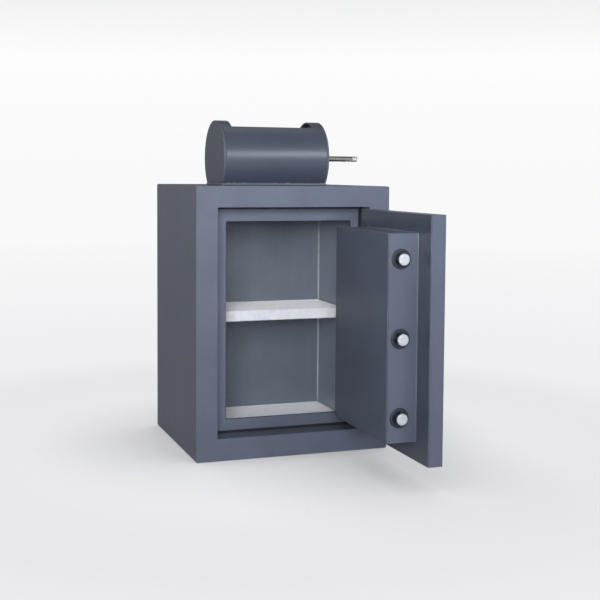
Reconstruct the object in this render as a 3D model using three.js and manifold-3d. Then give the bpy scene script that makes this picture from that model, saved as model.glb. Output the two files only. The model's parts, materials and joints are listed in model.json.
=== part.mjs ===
// A free-standing steel drop safe: a fire-insulated box with one hinged door, three round locking bolts
// on a handle-driven carrier, a key lock, a shelf, and a rotary deposit drum on its top.
// Millimetres, +Z up. The origin is the centre of the underside in width, on the front face's plane shifted
// back by half the depth; the front of the safe faces -Y. The door stands open, as it rests.

import * as THREE from 'three';
import { mergeVertices } from 'three/addons/utils/BufferGeometryUtils.js';
import Module from 'manifold-3d';

const wasm = await Module();
wasm.setup();

// Fits
const seatGap = 0.3;              // between pieces that are welded, glued, screwed or laid on each other
const runningGap = 0.4;           // round a shaft, bolt or plug that turns or slides
const overrun = 5;                // how far a cutter runs past what it cuts

// Body
const bodyWidth = 524;
const bodyDepth = 452;
const bodyHeight = 700;
const shellSheet = 3;
const shellCorner = 4;            // outside bend radius of the wrap
const backInset = 2;              // how far the back panel lies inside the wrap's rear edge
const frameSeam = 0.8;            // groove between the face ring and the wrap

// Door opening: the face ring, the jambs behind it and the lip at the back of the recess
const faceRing = 10;              // thickness of the ring round the opening
const jambSheet = 4;
const frameSide = 55.5;           // width of the face ring on each side of the opening
const frameBottom = 57;
const frameTop = 54;
const recessDepth = 64;
const lipSheet = 4;
const lipLockSide = 39.5;
const lipHingeSide = 28;
const lipBottom = 35;
const lipTop = 38;
const openingCorner = 2;
const sealWidth = 6;
const sealThickness = 4;

// Cavity
const wallThickness = 50;         // shell, insulation and liner together
const backThickness = 60;
const linerSheet = 1.5;
const matThickness = 3;
const matMargin = 2;
const shelfHeightShare = 0.5167;  // how far up the cavity the top of the shelf's cover lies
const shelfThickness = 28;
const shelfDepth = 209;
const shelfSideGap = 3.5;
const shelfCover = 2;
const ledgeSheet = 2;
const ledgeWidth = 14;
const ledgeRise = 20;

// Door slab
const doorSideGap = 3;
const doorTopGap = 5;
const doorBottomGap = 2.5;
const doorInset = 6;              // how far the closed slab lies behind the face ring's front
const doorThickness = 37;
const doorFront = 6;
const doorPanSheet = 3;
const doorInner = 3;
const doorOpen = 90;              // degrees that the door stands open at rest

// Hinges
const pinFromOpening = 14.25;
const pinInFront = 1.75;
const barrelRadius = 9;
const hingePinRadius = 5;
const knuckleHeight = 40;
const hingeFromEnd = 74;          // from the opening's top and bottom to the middle of each hinge
const strapThickness = 5;
const strapLength = 45;
const pinHeadRadius = 7.5;
const pinHeadHeight = 3;

// Bolt box on the door's inner face
const boxFromFreeEdge = 66.5;
const boxFromHingeEdge = 33.5;
const boxFromBottom = 46;
const boxFromTop = 45;
const boxDepth = 77;              // with its cover
const boxSheet = 2;
const boxFlange = 16;
const boxGroove = 1.6;            // shadow groove under the cover's rim
const grooveDepth = 3;
const coverSheet = 2;
const coverOverhang = 16;         // past the box on the hinge side, over the dead bar
const deadBarDepth = 23;
const deadBarEndInset = 4;
const screwInset = 9;
const screwRadius = 2;
const screwHeadRadius = 4.5;
const screwHeadHeight = 1.8;
const screwLength = 9;

// Locking bolts and their carrier
const boltRadius = 14;
const boltFromBoxEnd = 59.25;
const boltFromSlab = 44;
const boltThrown = 52;            // how far the thrown bolts stand out of the box
const boltSwing = 1;              // between the withdrawn bolts and the lip as the door swings past it
const boltChamfer = 2.5;
const collarRadius = 24;
const collarFlange = 2.5;
const collarBevel = 1;
const sleeveRadius = 18.5;
const sleeveLength = 20;
const carrierThickness = 8;
const carrierWidth = 44;
const carrierTopMargin = 26;      // from the box's inside to the carrier's end
const carrierClearance = 3;       // between the thrown carrier and the sleeves
const spigotRadius = 8;
const guideLap = 6;               // how deep the carrier's ends run in their guides
const guideWall = 5;

// Handle, spindle and crank
const spindleFromFreeEdge = 173.5;
const spindleAboveMiddle = 49.75; // from the middle of the door
const spindleRadius = 8;
const handleTurn = 60;            // degrees
const crankFromSlab = 17;
const crankThickness = 6;
const crankBoss = 13;
const crankEyeWall = 4;
const crankPinRadius = 4;
const crankPinPlay = 0.6;
const tailFromCrank = 4;          // between the crank arm and the carrier's tail
const tailThickness = 5;
const tailWeb = 9;                // metal above and below the crank slot
const roseRadius = 28;
const roseHeight = 8.7;
const roseEdge = 3;
const hubRadius = 15;
const hubLength = 40;
const hubBore = 22;
const leverLength = 122;
const leverRootWidth = 22;
const leverTipWidth = 15;
const leverThickness = 12;
const leverBevel = 2;

// Key lock
const lockFromSpindle = 30;
const lockBelowSpindle = 100;
const plugRadius = 10;
const plugProud = 5;              // in front of the slab
const keySlotWidth = 2.4;
const keySlotHeight = 13;
const keySlotDepth = 14;
const escutcheonRadius = 17;
const escutcheonHeight = 4;
const escutcheonEdge = 1.5;
const caseWidth = 56;
const caseHeight = 74;
const camFlat = 6;                // from the plug's axis to the cam's flat, under which the dog passes
const camPlay = 0.8;              // between the cam's round rim and the dog, on either side of it
const camScrewRadius = 3.5;
const camScrewDepth = 12;         // in the plug
const camHeadRadius = 5;
const camHeadHeight = 4;
const caseToCam = 2;
const dogWidth = 5;
const dogRootWidth = 16;

// Deposit drum
const drumRadius = 97.5;
const drumWall = 4;
const drumEnd = 6;
const drumFromLeft = 86.5;
const drumFromRight = 150;
const drumSink = 25;              // how far the drum's circle would reach below the safe's top
const drumFromFront = 150;
const rimWidth = 31.5;
const mouthHalfWidth = 54.5;
const flangeThickness = 6;
const flangeMargin = 6;
const rotorClearance = 1.5;
const rotorSheet = 3.5;
const rotorEndSheet = 3;
const rotorEndGap = 9;
const rotorMouthHalfWidth = 52;
const rotorFloorHeight = 12;      // above the shaft's axis
const rotorHole = 17;
const rotorHoleOut = 36;
const rotorHoleDrop = 44;
const shaftRadius = 7.5;
const shaftReach = 118;           // past the drum's right end
const shaftChamfer = 1;
const bearingRadius = 17;
const bushRadius = 13;
const bushFlange = 4;
const topPlay = 1.4;              // round the rotor where it dips through the safe's top

// Chute through the top
const chuteSheet = 2;
const chuteDrop = 38;             // below the cavity's ceiling
const baffleSheet = 3;
const baffleSlope = 30;           // degrees
const throatHalfWidth = 15;
const baffleTopDrop = 31;         // from the safe's top to the baffles' upper edge
const toothDepth = 9;
const toothPitch = 12;

// Facets
const roundSides = 32;
const smallSides = 16;
const smallRadius = 4.6;          // pieces no thicker than this take the small number of sides
const drumSides = 72;

// Places worked out from the driving dimensions
const frontY = -bodyDepth / 2;
const openingLeft = -bodyWidth / 2 + frameSide;
const openingRight = bodyWidth / 2 - frameSide;
const openingBottom = frameBottom;
const openingTop = bodyHeight - frameTop;
const lipFront = frontY + recessDepth;
const lipBack = lipFront + lipSheet;
const lipInner = {
  left: openingLeft + lipLockSide,
  right: openingRight - lipHingeSide,
  bottom: openingBottom + lipBottom,
  top: openingTop - lipTop,
};
const cavity = {
  left: -bodyWidth / 2 + wallThickness,
  right: bodyWidth / 2 - wallThickness,
  bottom: wallThickness,
  top: bodyHeight - wallThickness,
};
const cavityFront = lipBack + seatGap;
const cavityBackY = frontY + bodyDepth - backThickness;
const shelfTop = cavity.bottom + shelfHeightShare * (cavity.top - cavity.bottom);

const slab = {
  left: openingLeft + doorSideGap,
  right: openingRight - doorSideGap,
  bottom: openingBottom + doorBottomGap,
  top: openingTop - doorTopGap,
};
const slabFront = frontY + doorInset;
const slabBack = slabFront + doorThickness;
const pinX = openingRight + pinFromOpening;
const pinY = frontY - pinInFront;
const hingeHeights = [openingBottom + hingeFromEnd, openingTop - hingeFromEnd];

const box = {
  left: slab.left + boxFromFreeEdge,
  right: slab.right - boxFromHingeEdge,
  bottom: slab.bottom + boxFromBottom,
  top: slab.top - boxFromTop,
};
const boxFront = slabBack + seatGap;
const coverBack = slabBack + boxDepth;
const coverFront = coverBack - coverSheet;
const flangeBack = coverFront - seatGap;
const boxRim = coverFront - boxGroove;

const boltHeights = {
  lower: box.bottom + boltFromBoxEnd,
  middle: (box.bottom + box.top) / 2,
  upper: box.top - boltFromBoxEnd,
};
const boltY = slabBack + boltFromSlab;
// The swinging bolt's far edge passes inside the circle that the lip's front edge makes about the hinge pin
const lipRadius = Math.hypot(lipInner.left - pinX, lipFront - pinY);
const boltFarEdge = boltY + boltRadius - boltChamfer - pinY;
const boltTip = pinX - Math.sqrt((lipRadius - boltSwing) ** 2 - boltFarEdge ** 2);
const boltTravel = boltThrown - (box.left - boltTip);
const sleeveEnd = box.left + sleeveLength;
const carrierLeft = sleeveEnd + boltTravel + carrierClearance;
const carrierRight = carrierLeft + carrierThickness;
const carrierBottom = box.bottom + boxSheet + carrierTopMargin;
const carrierTop = box.top - boxSheet - carrierTopMargin;

const spindleX = slab.left + spindleFromFreeEdge;
const spindleHeight = (slab.bottom + slab.top) / 2 + spindleAboveMiddle;
const halfTurn = THREE.MathUtils.degToRad(handleTurn / 2);
const crankRadius = boltTravel / (2 * Math.sin(halfTurn));
const crankFront = slabBack + crankFromSlab;
const crankBack = crankFront + crankThickness;
const tailFront = crankBack + tailFromCrank;
const tailBack = tailFront + tailThickness;
const crankSlot = {
  x: spindleX + boltTravel / 2,
  halfWidth: crankPinRadius + crankPinPlay,
  top: spindleHeight - crankRadius * Math.cos(halfTurn) + crankPinRadius + crankPinPlay,
  bottom: spindleHeight - crankRadius - crankPinRadius - crankPinPlay,
};
const tailTop = crankSlot.top + tailWeb;
const tailBottom = crankSlot.bottom - tailWeb;

const lockX = spindleX + lockFromSpindle;
const lockHeight = spindleHeight - lockBelowSpindle;
// The cam lies between the dog's two places, so it turns freely past the dog in both
const dogMiddle = lockX + boltTravel / 2;
const dogFoot = lockHeight + camFlat + runningGap;
const camRadius = Math.hypot((boltTravel - dogWidth) / 2, camFlat + runningGap) - camPlay;
const camShoulder = tailFront - seatGap;

const drumLeft = -bodyWidth / 2 + drumFromLeft;
const drumRight = bodyWidth / 2 - drumFromRight;
const drumY = frontY + drumFromFront;
const drumAxisHeight = drumRadius - drumSink;
const drumZ = bodyHeight + drumAxisHeight;
const housingBottom = bodyHeight + flangeThickness + 2 * seatGap;
const rotorRadius = drumRadius - drumWall - rotorClearance;
const chuteLeft = drumLeft + drumEnd;
const chuteRight = drumRight - drumEnd;
const rotorDip = Math.sqrt(rotorRadius ** 2 - drumAxisHeight ** 2) + topPlay;
const chuteBottom = cavity.top - chuteDrop;

// Materials
const paint = { color: '#5d6271', roughness: 0.42, metalness: 0.35 };
const liningPaint = { color: '#6d7478', roughness: 0.55, metalness: 0.2 };
const brightSteel = { color: '#c9ccd1', roughness: 0.25, metalness: 0.95 };
const plainSteel = { color: '#8b8f96', roughness: 0.4, metalness: 0.9 };
const paleFelt = { color: '#d3dae0', roughness: 0.95, metalness: 0 };
const darkRubber = { color: '#202226', roughness: 0.8, metalness: 0 };
const fireFill = { color: '#b9b4a8', roughness: 0.95, metalness: 0 };
const castMetal = { color: '#3a3d44', roughness: 0.35, metalness: 0.7 };
const brass = { color: '#b08d4a', roughness: 0.35, metalness: 0.9 };

// Solids: every geometry becomes one closed body with its faces pointing out
function merged(geometry) {
  const plain = geometry.index ? geometry.toNonIndexed() : geometry.clone();
  for (const name of Object.keys(plain.attributes)) {
    if (name !== 'position') plain.deleteAttribute(name);
  }
  return mergeVertices(plain, 1e-4);
}

function solid(geometry) {
  const closed = merged(geometry);
  const place = closed.attributes.position;
  const corners = closed.index.array;
  const kept = [];
  const a = new THREE.Vector3();
  const b = new THREE.Vector3();
  const c = new THREE.Vector3();
  let volume = 0;
  for (let i = 0; i < corners.length; i += 3) {
    const [p, q, r] = [corners[i], corners[i + 1], corners[i + 2]];
    if (p === q || q === r || r === p) continue;
    kept.push(p, q, r);
    a.fromBufferAttribute(place, p);
    b.fromBufferAttribute(place, q);
    c.fromBufferAttribute(place, r);
    volume += a.dot(b.cross(c));
  }
  if (volume < 0) kept.reverse();
  const vertProperties = new Float32Array(place.array);
  const triVerts = new Uint32Array(kept);
  return new wasm.Manifold(new wasm.Mesh({ numProp: 3, vertProperties, triVerts }));
}

function join(...pieces) {
  return pieces.reduce((whole, piece) => whole.add(piece));
}

function cut(piece, ...cutters) {
  return cutters.reduce((rest, cutter) => rest.subtract(cutter), piece);
}

function toGeometry(manifold) {
  const mesh = manifold.getMesh();
  const geometry = new THREE.BufferGeometry();
  geometry.setAttribute('position', new THREE.BufferAttribute(new Float32Array(mesh.vertProperties), 3));
  geometry.setIndex(new THREE.BufferAttribute(new Uint32Array(mesh.triVerts), 1));
  const facets = geometry.toNonIndexed();
  facets.computeVertexNormals();
  return facets;
}

function place(group, name, piece, finish) {
  const mesh = new THREE.Mesh(toGeometry(piece), new THREE.MeshStandardMaterial(finish));
  mesh.name = name;
  group.add(mesh);
}

// Outlines
function rectangle(x0, x1, y0, y1, radius = 0) {
  const shape = new THREE.Shape();
  traceRectangle(shape, x0, x1, y0, y1, radius);
  return shape;
}

function traceRectangle(path, x0, x1, y0, y1, radius) {
  if (radius === 0) {
    path.moveTo(x0, y0);
    path.lineTo(x1, y0);
    path.lineTo(x1, y1);
    path.lineTo(x0, y1);
    path.closePath();
    return;
  }
  path.moveTo(x0 + radius, y0);
  path.lineTo(x1 - radius, y0);
  path.absarc(x1 - radius, y0 + radius, radius, -Math.PI / 2, 0);
  path.lineTo(x1, y1 - radius);
  path.absarc(x1 - radius, y1 - radius, radius, 0, Math.PI / 2);
  path.lineTo(x0 + radius, y1);
  path.absarc(x0 + radius, y1 - radius, radius, Math.PI / 2, Math.PI);
  path.lineTo(x0, y0 + radius);
  path.absarc(x0 + radius, y0 + radius, radius, Math.PI, Math.PI * 1.5);
}

function ring(outer, inner) {
  const shape = rectangle(...outer);
  const hole = new THREE.Path();
  traceRectangle(hole, ...inner.slice(0, 4), inner[4] ?? 0);
  shape.holes.push(hole);
  return shape;
}

function polygon(points) {
  return new THREE.Shape(points.map(([x, y]) => new THREE.Vector2(x, y)));
}

// Extrusions: the outline's two directions are the two axes that aren't the one it runs along
function extruded(shape, depth) {
  return new THREE.ExtrudeGeometry(shape, { depth, bevelEnabled: false, curveSegments: 3 });
}

function alongX(shape, x0, x1) {
  const turn = new THREE.Matrix4().makeBasis(
    new THREE.Vector3(0, 1, 0),
    new THREE.Vector3(0, 0, 1),
    new THREE.Vector3(1, 0, 0),
  );
  return solid(extruded(shape, x1 - x0).applyMatrix4(turn).translate(x0, 0, 0));
}

function alongY(shape, y0, y1) {
  return solid(extruded(shape, y1 - y0).rotateX(Math.PI / 2).translate(0, y1, 0));
}

function alongZ(shape, z0, z1) {
  return solid(extruded(shape, z1 - z0).translate(0, 0, z0));
}

function block(x0, x1, y0, y1, z0, z1) {
  const geometry = new THREE.BoxGeometry(x1 - x0, y1 - y0, z1 - z0);
  return solid(geometry.translate((x0 + x1) / 2, (y0 + y1) / 2, (z0 + z1) / 2));
}

// Turned pieces: a profile of [radius, distance along the axis], turned about X, Y or Z through a point
function turned(profile, axis, centre, sides = sidesFor(profile)) {
  const closed = profile[0][0] > 0 ? [...profile, profile[0]] : profile;
  const points = closed.map(([radius, along]) => new THREE.Vector2(radius, along));
  const geometry = new THREE.LatheGeometry(points, sides);
  if (axis === 'x') geometry.rotateZ(-Math.PI / 2);
  if (axis === 'z') geometry.rotateX(Math.PI / 2);
  return solid(geometry.translate(...centre));
}

function sidesFor(profile) {
  const widest = Math.max(...profile.map(([radius]) => radius));
  return widest > smallRadius ? roundSides : smallSides;
}

function bar(radius, from, to, axis, centre, chamfer = 0, sides = undefined) {
  const profile = [[0, from], [radius - chamfer, from]];
  if (chamfer > 0) profile.push([radius, from + chamfer], [radius, to - chamfer]);
  profile.push([radius - chamfer, to], [0, to]);
  return turned(profile, axis, centre, sides);
}

function collar(bore, radius, from, to, axis, centre, sides = undefined) {
  return turned([[bore, from], [radius, from], [radius, to], [bore, to]], axis, centre, sides);
}

// Safe body
function bodyShell() {
  const half = bodyWidth / 2;
  const outer = [-half, half, 0, bodyHeight, shellCorner];
  const inner = [-half + shellSheet, half - shellSheet, shellSheet, bodyHeight - shellSheet];
  const wrap = alongY(ring(outer, inner), frontY + faceRing + frameSeam, frontY + bodyDepth);
  return cut(wrap, block(chuteLeft, chuteRight, drumY - rotorDip, drumY + rotorDip,
    bodyHeight - shellSheet - overrun, bodyHeight + overrun));
}

function backPanel() {
  const edge = bodyWidth / 2 - shellSheet - seatGap;
  const shape = rectangle(-edge, edge, shellSheet + seatGap, bodyHeight - shellSheet - seatGap);
  const back = frontY + bodyDepth - backInset;
  return alongY(shape, back - shellSheet, back);
}

function hingeRelief(height) {
  const reach = knuckleHeight + runningGap + pinHeadHeight + seatGap;
  const radius = barrelRadius + seatGap;
  const round = bar(radius, height - reach, height + reach, 'z', [pinX, pinY, 0]);
  const slot = block(openingRight - overrun, pinX, frontY - overrun, pinY + radius,
    height - reach, height + reach);
  return join(round, slot);
}

function frontFrame() {
  const half = bodyWidth / 2;
  const opening = [openingLeft, openingRight, openingBottom, openingTop, openingCorner];
  const face = alongY(ring([-half, half, 0, bodyHeight, shellCorner], opening), frontY, frontY + faceRing);
  const jambOuter = [
    openingLeft - jambSheet, openingRight + jambSheet,
    openingBottom - jambSheet, openingTop + jambSheet, openingCorner,
  ];
  const jambs = alongY(ring(jambOuter, opening), frontY + faceRing / 2, lipFront - seatGap);
  return cut(join(face, jambs), ...hingeHeights.map(hingeRelief));
}

function boltFrame() {
  const outer = [
    cavity.left - linerSheet, cavity.right + linerSheet,
    cavity.bottom - linerSheet, cavity.top + linerSheet,
  ];
  const inner = [lipInner.left, lipInner.right, lipInner.bottom, lipInner.top];
  return alongY(ring(outer, inner), lipFront, lipBack);
}

function fireSeal() {
  const outer = [
    openingLeft + seatGap, openingRight - seatGap,
    openingBottom + seatGap, openingTop - seatGap, openingCorner,
  ];
  const inner = [
    openingLeft + sealWidth, openingRight - sealWidth,
    openingBottom + sealWidth, openingTop - sealWidth,
  ];
  return alongY(ring(outer, inner), lipFront - seatGap - sealThickness, lipFront - seatGap);
}

function insulation() {
  const edge = bodyWidth / 2 - shellSheet - seatGap;
  const outer = [-edge, edge, shellSheet + seatGap, bodyHeight - shellSheet - seatGap];
  const jamb = jambSheet + seatGap;
  const aroundJambs = [openingLeft - jamb, openingRight + jamb, openingBottom - jamb, openingTop + jamb];
  const liner = linerSheet + seatGap;
  const aroundLiner = [
    cavity.left - liner, cavity.right + liner,
    cavity.bottom - liner, cavity.top + liner,
  ];
  const front = frontY + faceRing + seatGap;
  const back = frontY + bodyDepth - backInset - shellSheet - seatGap;
  const filled = alongY(rectangle(...outer), front, back);
  const chute = chuteSheet + seatGap;
  return cut(
    filled,
    alongY(rectangle(...aroundJambs), front - overrun, lipFront),
    alongY(rectangle(...aroundLiner), lipFront - seatGap, cavityBackY + liner),
    block(chuteLeft - chute, chuteRight + chute, drumY - rotorDip - chute, drumY + rotorDip + chute,
      cavity.top, bodyHeight + overrun),
  );
}

function cavityLiner() {
  const { left, right, bottom, top } = cavity;
  const outer = rectangle(left - linerSheet, right + linerSheet, bottom - linerSheet, top + linerSheet);
  const chute = chuteSheet + seatGap;
  return cut(
    alongY(outer, cavityFront, cavityBackY + linerSheet),
    alongY(rectangle(left, right, bottom, top), cavityFront - overrun, cavityBackY),
    block(chuteLeft - chute, chuteRight + chute, drumY - rotorDip - chute, drumY + rotorDip + chute,
      top - overrun, top + overrun),
  );
}

function floorMat() {
  const bottom = cavity.bottom + seatGap;
  return block(cavity.left + matMargin, cavity.right - matMargin,
    cavityFront + matMargin, cavityBackY - matMargin, bottom, bottom + matThickness);
}

const shelf = {
  left: cavity.left + shelfSideGap,
  right: cavity.right - shelfSideGap,
  front: cavityBackY - shelfDepth,
  back: cavityBackY - seatGap,
  bottom: shelfTop - shelfThickness,
};

function shelfBoard() {
  const skin = shelfCover + seatGap;
  return block(shelf.left, shelf.right, shelf.front + skin, shelf.back,
    shelf.bottom + skin, shelfTop - skin);
}

// The cover wraps the board's top, front edge and underside
function shelfCoverSkin() {
  const { front, back, bottom } = shelf;
  const wrap = polygon([
    [back, bottom], [back, bottom + shelfCover], [front + shelfCover, bottom + shelfCover],
    [front + shelfCover, shelfTop - shelfCover], [back, shelfTop - shelfCover],
    [back, shelfTop], [front, shelfTop], [front, bottom],
  ]);
  return alongX(wrap, shelf.left, shelf.right);
}

// An angle on each side wall: its upright leg hides between the shelf's end and the wall
function shelfLedge(side) {
  const wall = side * (cavity.right - seatGap);
  const top = shelf.bottom - seatGap;
  const angle = polygon([
    [wall, top - ledgeSheet], [wall - side * ledgeWidth, top - ledgeSheet], [wall - side * ledgeWidth, top],
    [wall - side * ledgeSheet, top], [wall - side * ledgeSheet, top + ledgeRise], [wall, top + ledgeRise],
  ]);
  return alongY(angle, shelf.front + shelfCover, shelf.back);
}

function knuckle(from, to) {
  return collar(hingePinRadius + seatGap, barrelRadius, from, to, 'z', [pinX, pinY, 0]);
}

function hingePin(height) {
  const head = height + runningGap + knuckleHeight + seatGap;
  return turned([
    [0, height - knuckleHeight], [hingePinRadius, height - knuckleHeight], [hingePinRadius, head],
    [pinHeadRadius, head], [pinHeadRadius, head + pinHeadHeight / 2],
    [pinHeadRadius - pinHeadHeight / 2, head + pinHeadHeight], [0, head + pinHeadHeight],
  ], 'z', [pinX, pinY, 0]);
}

// Deposit drum: housing, ends and bearings
function drumFlange() {
  const chord = Math.sqrt(drumRadius ** 2 - (drumZ - housingBottom) ** 2);
  const innerChord = Math.sqrt((drumRadius - drumWall) ** 2 - (drumZ - housingBottom) ** 2);
  const outer = [drumLeft, drumRight, drumY - chord - flangeMargin, drumY + chord + flangeMargin];
  const inner = [chuteLeft, chuteRight, drumY - innerChord, drumY + innerChord];
  const bottom = bodyHeight + seatGap;
  return alongZ(ring(outer, inner), bottom, bottom + flangeThickness);
}

const belowHousing = () => block(drumLeft - overrun, drumRight + overrun, drumY - drumRadius - overrun,
  drumY + drumRadius + overrun, drumZ - drumRadius - overrun, housingBottom);

function drumHousing() {
  const from = drumLeft + drumEnd + seatGap;
  const to = drumRight - drumEnd - seatGap;
  const tube = collar(drumRadius - drumWall, drumRadius, from, to, 'x', [0, drumY, drumZ], drumSides);
  const mouth = block(drumLeft + rimWidth, drumRight - rimWidth,
    drumY - mouthHalfWidth, drumY + mouthHalfWidth, drumZ, drumZ + drumRadius + overrun);
  return cut(tube, belowHousing(), mouth);
}

function drumEndPlate(from, bore) {
  const disc = bar(drumRadius, from, from + drumEnd, 'x', [0, drumY, drumZ], 0, drumSides);
  if (bore === 0) return cut(disc, belowHousing());
  const hole = bar(bore, from - overrun, from + drumEnd + overrun, 'x', [0, drumY, drumZ]);
  return cut(disc, belowHousing(), hole);
}

function bearingCup() {
  const from = drumLeft + drumEnd + seatGap;
  const to = drumLeft + drumEnd + rotorEndGap - seatGap;
  return collar(shaftRadius + runningGap, bearingRadius, from, to, 'x', [0, drumY, drumZ]);
}

function shaftBush() {
  const inner = drumRight - drumEnd - rotorEndGap + seatGap;
  const bore = shaftRadius + runningGap;
  const shoulder = drumRight - drumEnd - seatGap;
  const face = drumRight + bushFlange;
  return turned([
    [bore, inner], [bearingRadius, inner], [bearingRadius, shoulder], [bushRadius, shoulder],
    [bushRadius, face], [bore, face],
  ], 'x', [0, drumY, drumZ]);
}

// The rotor is a tube with a mouth, a floor across it above the shaft, and two end discs. Two holes in each
// disc open the space under the floor.
function drumRotor() {
  const from = drumLeft + drumEnd + rotorEndGap;
  const to = drumRight - drumEnd - rotorEndGap;
  const centre = [0, drumY, drumZ];
  const tube = collar(rotorRadius - rotorSheet, rotorRadius, from, to, 'x', centre, drumSides);
  const mouth = block(from - overrun, to + overrun,
    drumY - rotorMouthHalfWidth, drumY + rotorMouthHalfWidth, drumZ, drumZ + drumRadius + overrun);
  const floorHalf = Math.sqrt((rotorRadius - rotorSheet / 2) ** 2 - rotorFloorHeight ** 2);
  const floorTop = drumZ + rotorFloorHeight;
  const floor = block(from, to, drumY - floorHalf, drumY + floorHalf, floorTop - rotorSheet, floorTop);
  const discs = [from, to - rotorEndSheet].map((x) => {
    const disc = bar(rotorRadius, x, x + rotorEndSheet, 'x', centre, 0, drumSides);
    const shaftHole = bar(shaftRadius + seatGap, x - overrun, x + rotorEndSheet + overrun, 'x', centre);
    const holes = [-1, 1].map((side) => bar(rotorHole, x - overrun, x + rotorEndSheet + overrun, 'x',
      [0, drumY + side * rotorHoleOut, drumZ - rotorHoleDrop]));
    return cut(disc, shaftHole, ...holes);
  });
  return join(cut(tube, mouth), floor, ...discs);
}

function drumShaft() {
  const from = drumLeft + drumEnd + seatGap;
  return bar(shaftRadius, from, drumRight + shaftReach, 'x', [0, drumY, drumZ], shaftChamfer);
}

// Chute through the insulated top, with two toothed baffles against fishing
function chuteLiner() {
  const outer = [
    chuteLeft - chuteSheet, chuteRight + chuteSheet,
    drumY - rotorDip - chuteSheet, drumY + rotorDip + chuteSheet,
  ];
  const inner = [chuteLeft, chuteRight, drumY - rotorDip, drumY + rotorDip];
  return alongZ(ring(outer, inner), chuteBottom, bodyHeight - shellSheet - seatGap);
}

function chuteBaffle(side) {
  const left = chuteLeft + seatGap;
  const right = chuteRight - seatGap;
  const slope = THREE.MathUtils.degToRad(baffleSlope);
  const wall = rotorDip - seatGap - baffleSheet * Math.sin(slope);
  const length = (wall - throatHalfWidth) / Math.cos(slope);
  const teeth = Math.floor((right - left) / toothPitch);
  const pitch = (right - left) / teeth;
  const outline = [[left, 0], [left, length - toothDepth]];
  for (let i = 0; i < teeth; i += 1) {
    outline.push([left + (i + 1 / 2) * pitch, length], [left + (i + 1) * pitch, length - toothDepth]);
  }
  outline.push([right, 0]);
  const sheet = extruded(polygon(outline), baffleSheet);
  sheet.rotateX(side > 0 ? Math.PI + slope : -slope);
  return solid(sheet.translate(0, drumY + side * wall, bodyHeight - baffleTopDrop));
}

// Door slab
function doorHoles(y0, y1) {
  return [
    bar(spindleRadius + runningGap, y0, y1, 'y', [spindleX, 0, spindleHeight]),
    bar(plugRadius + runningGap, y0, y1, 'y', [lockX, 0, lockHeight]),
  ];
}

function doorPan() {
  const { left, right, bottom, top } = slab;
  const rear = slabBack - doorInner - seatGap;
  const tray = cut(
    block(left, right, slabFront, rear, bottom, top),
    block(left + doorPanSheet, right - doorPanSheet, slabFront + doorFront, rear + overrun,
      bottom + doorPanSheet, top - doorPanSheet),
  );
  return cut(tray, ...doorHoles(slabFront - overrun, rear));
}

function doorFill() {
  const inset = doorPanSheet + seatGap;
  const front = slabFront + doorFront + seatGap;
  const rear = slabBack - doorInner - seatGap;
  const fill = block(slab.left + inset, slab.right - inset, front, rear - seatGap,
    slab.bottom + inset, slab.top - inset);
  return cut(fill, ...doorHoles(front - overrun, rear + overrun));
}

function doorInnerPlate() {
  const plate = block(slab.left, slab.right, slabBack - doorInner, slabBack, slab.bottom, slab.top);
  return cut(plate, ...doorHoles(slabBack - doorInner - overrun, slabBack + overrun));
}

function strapKnuckle(height) {
  const from = height + runningGap;
  const to = from + knuckleHeight;
  const back = slabFront - seatGap;
  const strap = alongZ(rectangle(slab.right - strapLength, pinX, back - strapThickness, back), from, to);
  const bore = bar(hingePinRadius + runningGap, from - overrun, to + overrun, 'z', [pinX, pinY, 0]);
  const barrel = bar(barrelRadius, from, to, 'z', [pinX, pinY, 0]);
  return cut(join(barrel, strap), bore);
}

// Bolt box: four walls with an inward flange that carries the cover
function boltBox() {
  const { left, right, bottom, top } = box;
  const walls = alongY(ring(
    [left, right, bottom, top],
    [left + boxSheet, right - boxSheet, bottom + boxSheet, top - boxSheet],
  ), boxFront, boxRim);
  const flange = alongY(ring(
    [left + grooveDepth, right - boxSheet, bottom + grooveDepth, top - grooveDepth],
    [left + boxFlange, right - boxFlange, bottom + boxFlange, top - boxFlange],
  ), boxRim - boxSheet, flangeBack);
  const bores = Object.values(boltHeights).map((z) => bar(sleeveRadius + seatGap, left - overrun,
    left + boxSheet + overrun, 'x', [0, boltY, z]));
  const screws = coverScrewPlaces().map(([x, z]) => bar(screwRadius + seatGap, boxRim - boxSheet - overrun,
    flangeBack + overrun, 'y', [x, 0, z]));
  const corner = block(left, left + grooveDepth + boxSheet, boxRim - boxSheet, boxRim, bottom, top);
  return cut(join(walls, flange, corner), ...bores, ...screws);
}

const coverRight = box.right + coverOverhang;

function coverScrewPlaces() {
  const { left, bottom, top } = box;
  const across = [left + screwInset, coverRight - screwInset];
  const up = [bottom + screwInset, top - screwInset];
  return up.flatMap((z) => across.map((x) => [x, z]));
}

function boxCover() {
  const plate = block(box.left, coverRight, coverFront, coverBack, box.bottom, box.top);
  return cut(plate, ...coverScrewPlaces().map(([x, z]) => bar(screwRadius + seatGap, coverFront - overrun,
    coverBack + overrun, 'y', [x, 0, z])));
}

function coverScrew([x, z]) {
  const head = coverBack + seatGap;
  return turned([
    [0, head - screwLength], [screwRadius, head - screwLength], [screwRadius, head],
    [screwHeadRadius, head], [screwHeadRadius, head + screwHeadHeight / 2],
    [screwHeadRadius / 2, head + screwHeadHeight], [0, head + screwHeadHeight],
  ], 'y', [x, 0, z]);
}

// The dead bar reaches behind the lip on the hinge side when the door is shut
function deadBar() {
  const front = flangeBack - deadBarDepth;
  const left = box.right + seatGap;
  const flat = block(left, coverRight, front, flangeBack,
    box.bottom + deadBarEndInset, box.top - deadBarEndInset);
  const taps = coverScrewPlaces().filter(([x]) => x > box.right).map(([x, z]) => bar(screwRadius + seatGap,
    flangeBack - screwLength, flangeBack + overrun, 'y', [x, 0, z]));
  return cut(flat, ...taps);
}

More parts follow.
